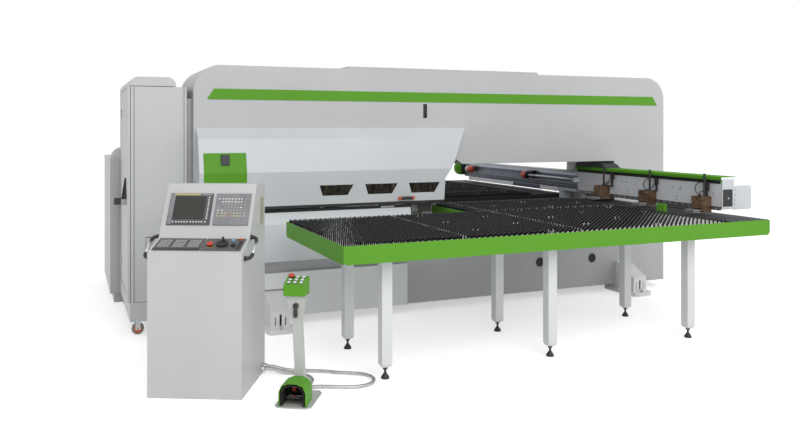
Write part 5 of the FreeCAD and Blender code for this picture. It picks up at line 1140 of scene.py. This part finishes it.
# ---- Pedal stand ----
# A leaning square post on a rounded sole carries the green button box on a flared
# bracket. The treadle sits low in a green arched hood with a dark lining.
stand_grey = powder_coat("stand_grey", (0.50, 0.52, 0.49))
rounded_copy("pedal_stand", stand_grey, 0.003, 3)
rounded_copy("button_box", leaf_green, 0.003)
rounded_copy("pedal_shroud", leaf_green, 0.0014)
box_turn = math.atan2(40, 118)
box_deep = (0, math.cos(box_turn), math.sin(box_turn))


def on_box(x, along, shape):
    """A turned part upright on the button box's sloped top."""
    return seat(shape, (x, 151 + along * math.cos(box_turn), 762 + along * math.sin(box_turn)),
                stand_grid, deep=box_deep)


spots = [(54 + 42 * column, 26 + 36 * line) for line in range(3) for column in range(3)
         if (line, column) != (2, 0)]
cap = turned([(0.5, 4), (12, 4), (12, 8), (10.5, 10), (0.5, 10.6)], 20)
cap_white = moulded("cap_white", (0.72, 0.74, 0.73), rough=0.4, patch=0.04)
add_piece("stand_button_caps", together(*(on_box(x, y, cap) for x, y in spots)), cap_white,
          smooth=True)
bezel = turned([(0.5, -0.5), (13.5, -0.5), (13.5, 3), (12.2, 4.6), (0.5, 4.6)], 20)
stop_bezel = turned([(0.5, -0.5), (17, -0.5), (17, 9), (15, 12), (0.5, 12)], 24)
bezels = together(*(on_box(x, y, bezel) for x, y in spots), on_box(54, 98, stop_bezel))
add_piece("stand_button_rings", bezels, black_plastic, smooth=True)
mushroom = turned([(0.5, 11), (14, 11), (20, 14), (20.5, 20), (17, 25), (9, 27.5), (0.5, 28)], 28)
add_piece("stand_mushroom", on_box(54, 98, mushroom), mushroom_red, smooth=True)


def arch(inset):
    """The hood's arch, from one foot over the crown to the other, drawn in by inset."""
    left, right, top, crown = 33 + inset, 213 - inset, 158 - inset, 56
    turn = np.linspace(0, np.pi / 2, 7)
    right_bend = np.column_stack([right - crown + crown * np.cos(turn),
                                  top - crown + crown * np.sin(turn)])
    left_bend = np.column_stack([left + crown - crown * np.sin(turn),
                                 top - crown + crown * np.cos(turn)])
    return np.vstack([[right, 9], right_bend, left_bend, [left, 9]])


lining_rings = []
for inset, depth in ((14, 12), (14, 161), (20, 161), (20, 12)):
    line = arch(inset)
    lining_rings.append(np.column_stack([line[:, 0], np.full(len(line), depth), line[:, 1]]))
lining_points = np.array(lining_rings)
count = lining_points.shape[1]
lining = (lining_points.reshape(-1, 3),
          (skin(5, count, closed=False) % (4 * count)).tolist()
          + [[0, count, 2 * count, 3 * count],
             [4 * count - 1, 3 * count - 1, 2 * count - 1, count - 1]])
hood_black = moulded("hood_black", (0.012, 0.012, 0.012), rough=0.8)
hood_back = rounded_slab(48, 12, 0, 150, 128, 3, 40, 1)
inside = together(seat(lining, to_row=stand_grid),
                  seat(hood_back, (0, 163, 0), stand_grid, **facing_front))
add_piece("hood_lining", inside, hood_black)
red_post = seat(rounded_slab(90, 68, 0, 26, 70, 8, 3, 2), (0, 136, 0), stand_grid, **facing_front)
add_piece("hood_red_post", red_post, mushroom_red)
tread_turn = math.atan2(24, 118)
on_treadle = {"to_row": stand_grid, "start": (123, 150, 39.2),
              "across": (-1, 0, 0), "deep": (0, -math.cos(tread_turn), math.sin(tread_turn))}
ribs = together(*(slab_on(on_treadle, -44, 10 + 13 * index, 0, 88, 8, 3.0, 2, 1)
                  for index in range(8) if index != 4))
rounded_copy("treadle", black_plastic, 0.0015)
add_piece("treadle_ribs", ribs, black_plastic, "pedal")
add_piece("treadle_bar", slab_on(on_treadle, -46, 61, 0, 92, 7, 5, 3, 2), zinc,
          "pedal")
add_piece("treadle_mark", slab_on(on_treadle, -9, 72, 3, 18, 42, 1.6, 2, 0.6), mushroom_red,
          "pedal")
sole_screws = scatter(screw_head(9, 5), [(x, y, 8) for x in (22, 224) for y in (22, 323)],
                      to_row=stand_grid)
add_piece("sole_screws", sole_screws, zinc, smooth=True)
pivot_height = 622
post_foot_x = 130
post_lean = 34
post_height = 688
lever_x = post_foot_x - post_lean * pivot_height / post_height + 4
boss = turned([(0.5, 0.4), (18, 0.4), (18, 18), (15, 24), (8, 26), (0.5, 26.3)], 24)
grip = turned([(0.5, -76), (8, -75), (13.5, -70), (14.5, -58), (12, -30), (12, 0), (0.5, 0)], 20)
lever = together(seat(boss, (lever_x, 174, pivot_height), stand_grid, **facing_front),
                 seat(grip, (lever_x, 158, pivot_height), stand_grid))
add_piece("post_clamp_lever", lever, black_plastic, "lever", True,
          instead="post_lever")


# ---- Studio ----
# A white floor and an even white surround, with one broad soft lamp from the front left
# and a weak one from the right, so that the object keeps its own colours.
def in_plain_view(tree):
    """One for rays from the camera, a mirror or glass, and nought for all others."""
    rays = tree.nodes.new("ShaderNodeLightPath").outputs
    seen = rays["Is Camera Ray"]
    for kind in ("Is Glossy Ray", "Is Transmission Ray"):
        either = tree.nodes.new("ShaderNodeMath")
        either.operation = "MAXIMUM"
        tree.links.new(seen, either.inputs[0])
        tree.links.new(rays[kind], either.inputs[1])
        seen = either.outputs["Value"]
    return seen


floor_finish, floor_tree, floor_shader, _ = new_finish("floor_finish")
glow = floor_tree.nodes.new("ShaderNodeMath")
glow.operation = "MULTIPLY"
glow.inputs[1].default_value = 0.48
floor_tree.links.new(in_plain_view(floor_tree), glow.inputs[0])
wire(floor_shader, Base_Color=(0.88, 0.88, 0.88, 1), Roughness=0.9,
     Emission_Color=(1, 1, 1, 1), Emission_Strength=glow.outputs["Value"])
floor_mesh = bpy.data.meshes.new("floor")
floor_mesh.from_pydata([(-40, -40, -0.001), (40, -40, -0.001), (40, 40, -0.001),
                        (-40, 40, -0.001)], [], [(0, 1, 2, 3)])
floor_mesh.materials.append(floor_finish)
floor = bpy.data.objects.new("floor", floor_mesh)
bpy.context.scene.collection.objects.link(floor)

world = bpy.data.worlds.new("surround")
world.use_nodes = True
bpy.context.scene.world = world
light = add_node(world.node_tree, "MapRange", "Result", To_Min=0.63, To_Max=1.0,
                 Value=in_plain_view(world.node_tree))
wire(world.node_tree.nodes["Background"], Color=(1, 1, 1, 1), Strength=light)
for name, power, spread, place, aim in (
        ("key_lamp", 470, 7.0, (-1.0, -10.5, 6.5), (0, 0, 1.0)),
        ("fill_lamp", 90, 6.0, (7.5, -5.0, 5.0), (0, 0, 1.0))):
    lamp_data = bpy.data.lights.new(name, "AREA")
    lamp_data.energy = power
    lamp_data.size = spread
    lamp = bpy.data.objects.new(name, lamp_data)
    lamp.location = place
    lamp.rotation_euler = (Vector(aim) - Vector(place)).to_track_quat("-Z", "Y").to_euler()
    bpy.context.scene.collection.objects.link(lamp)
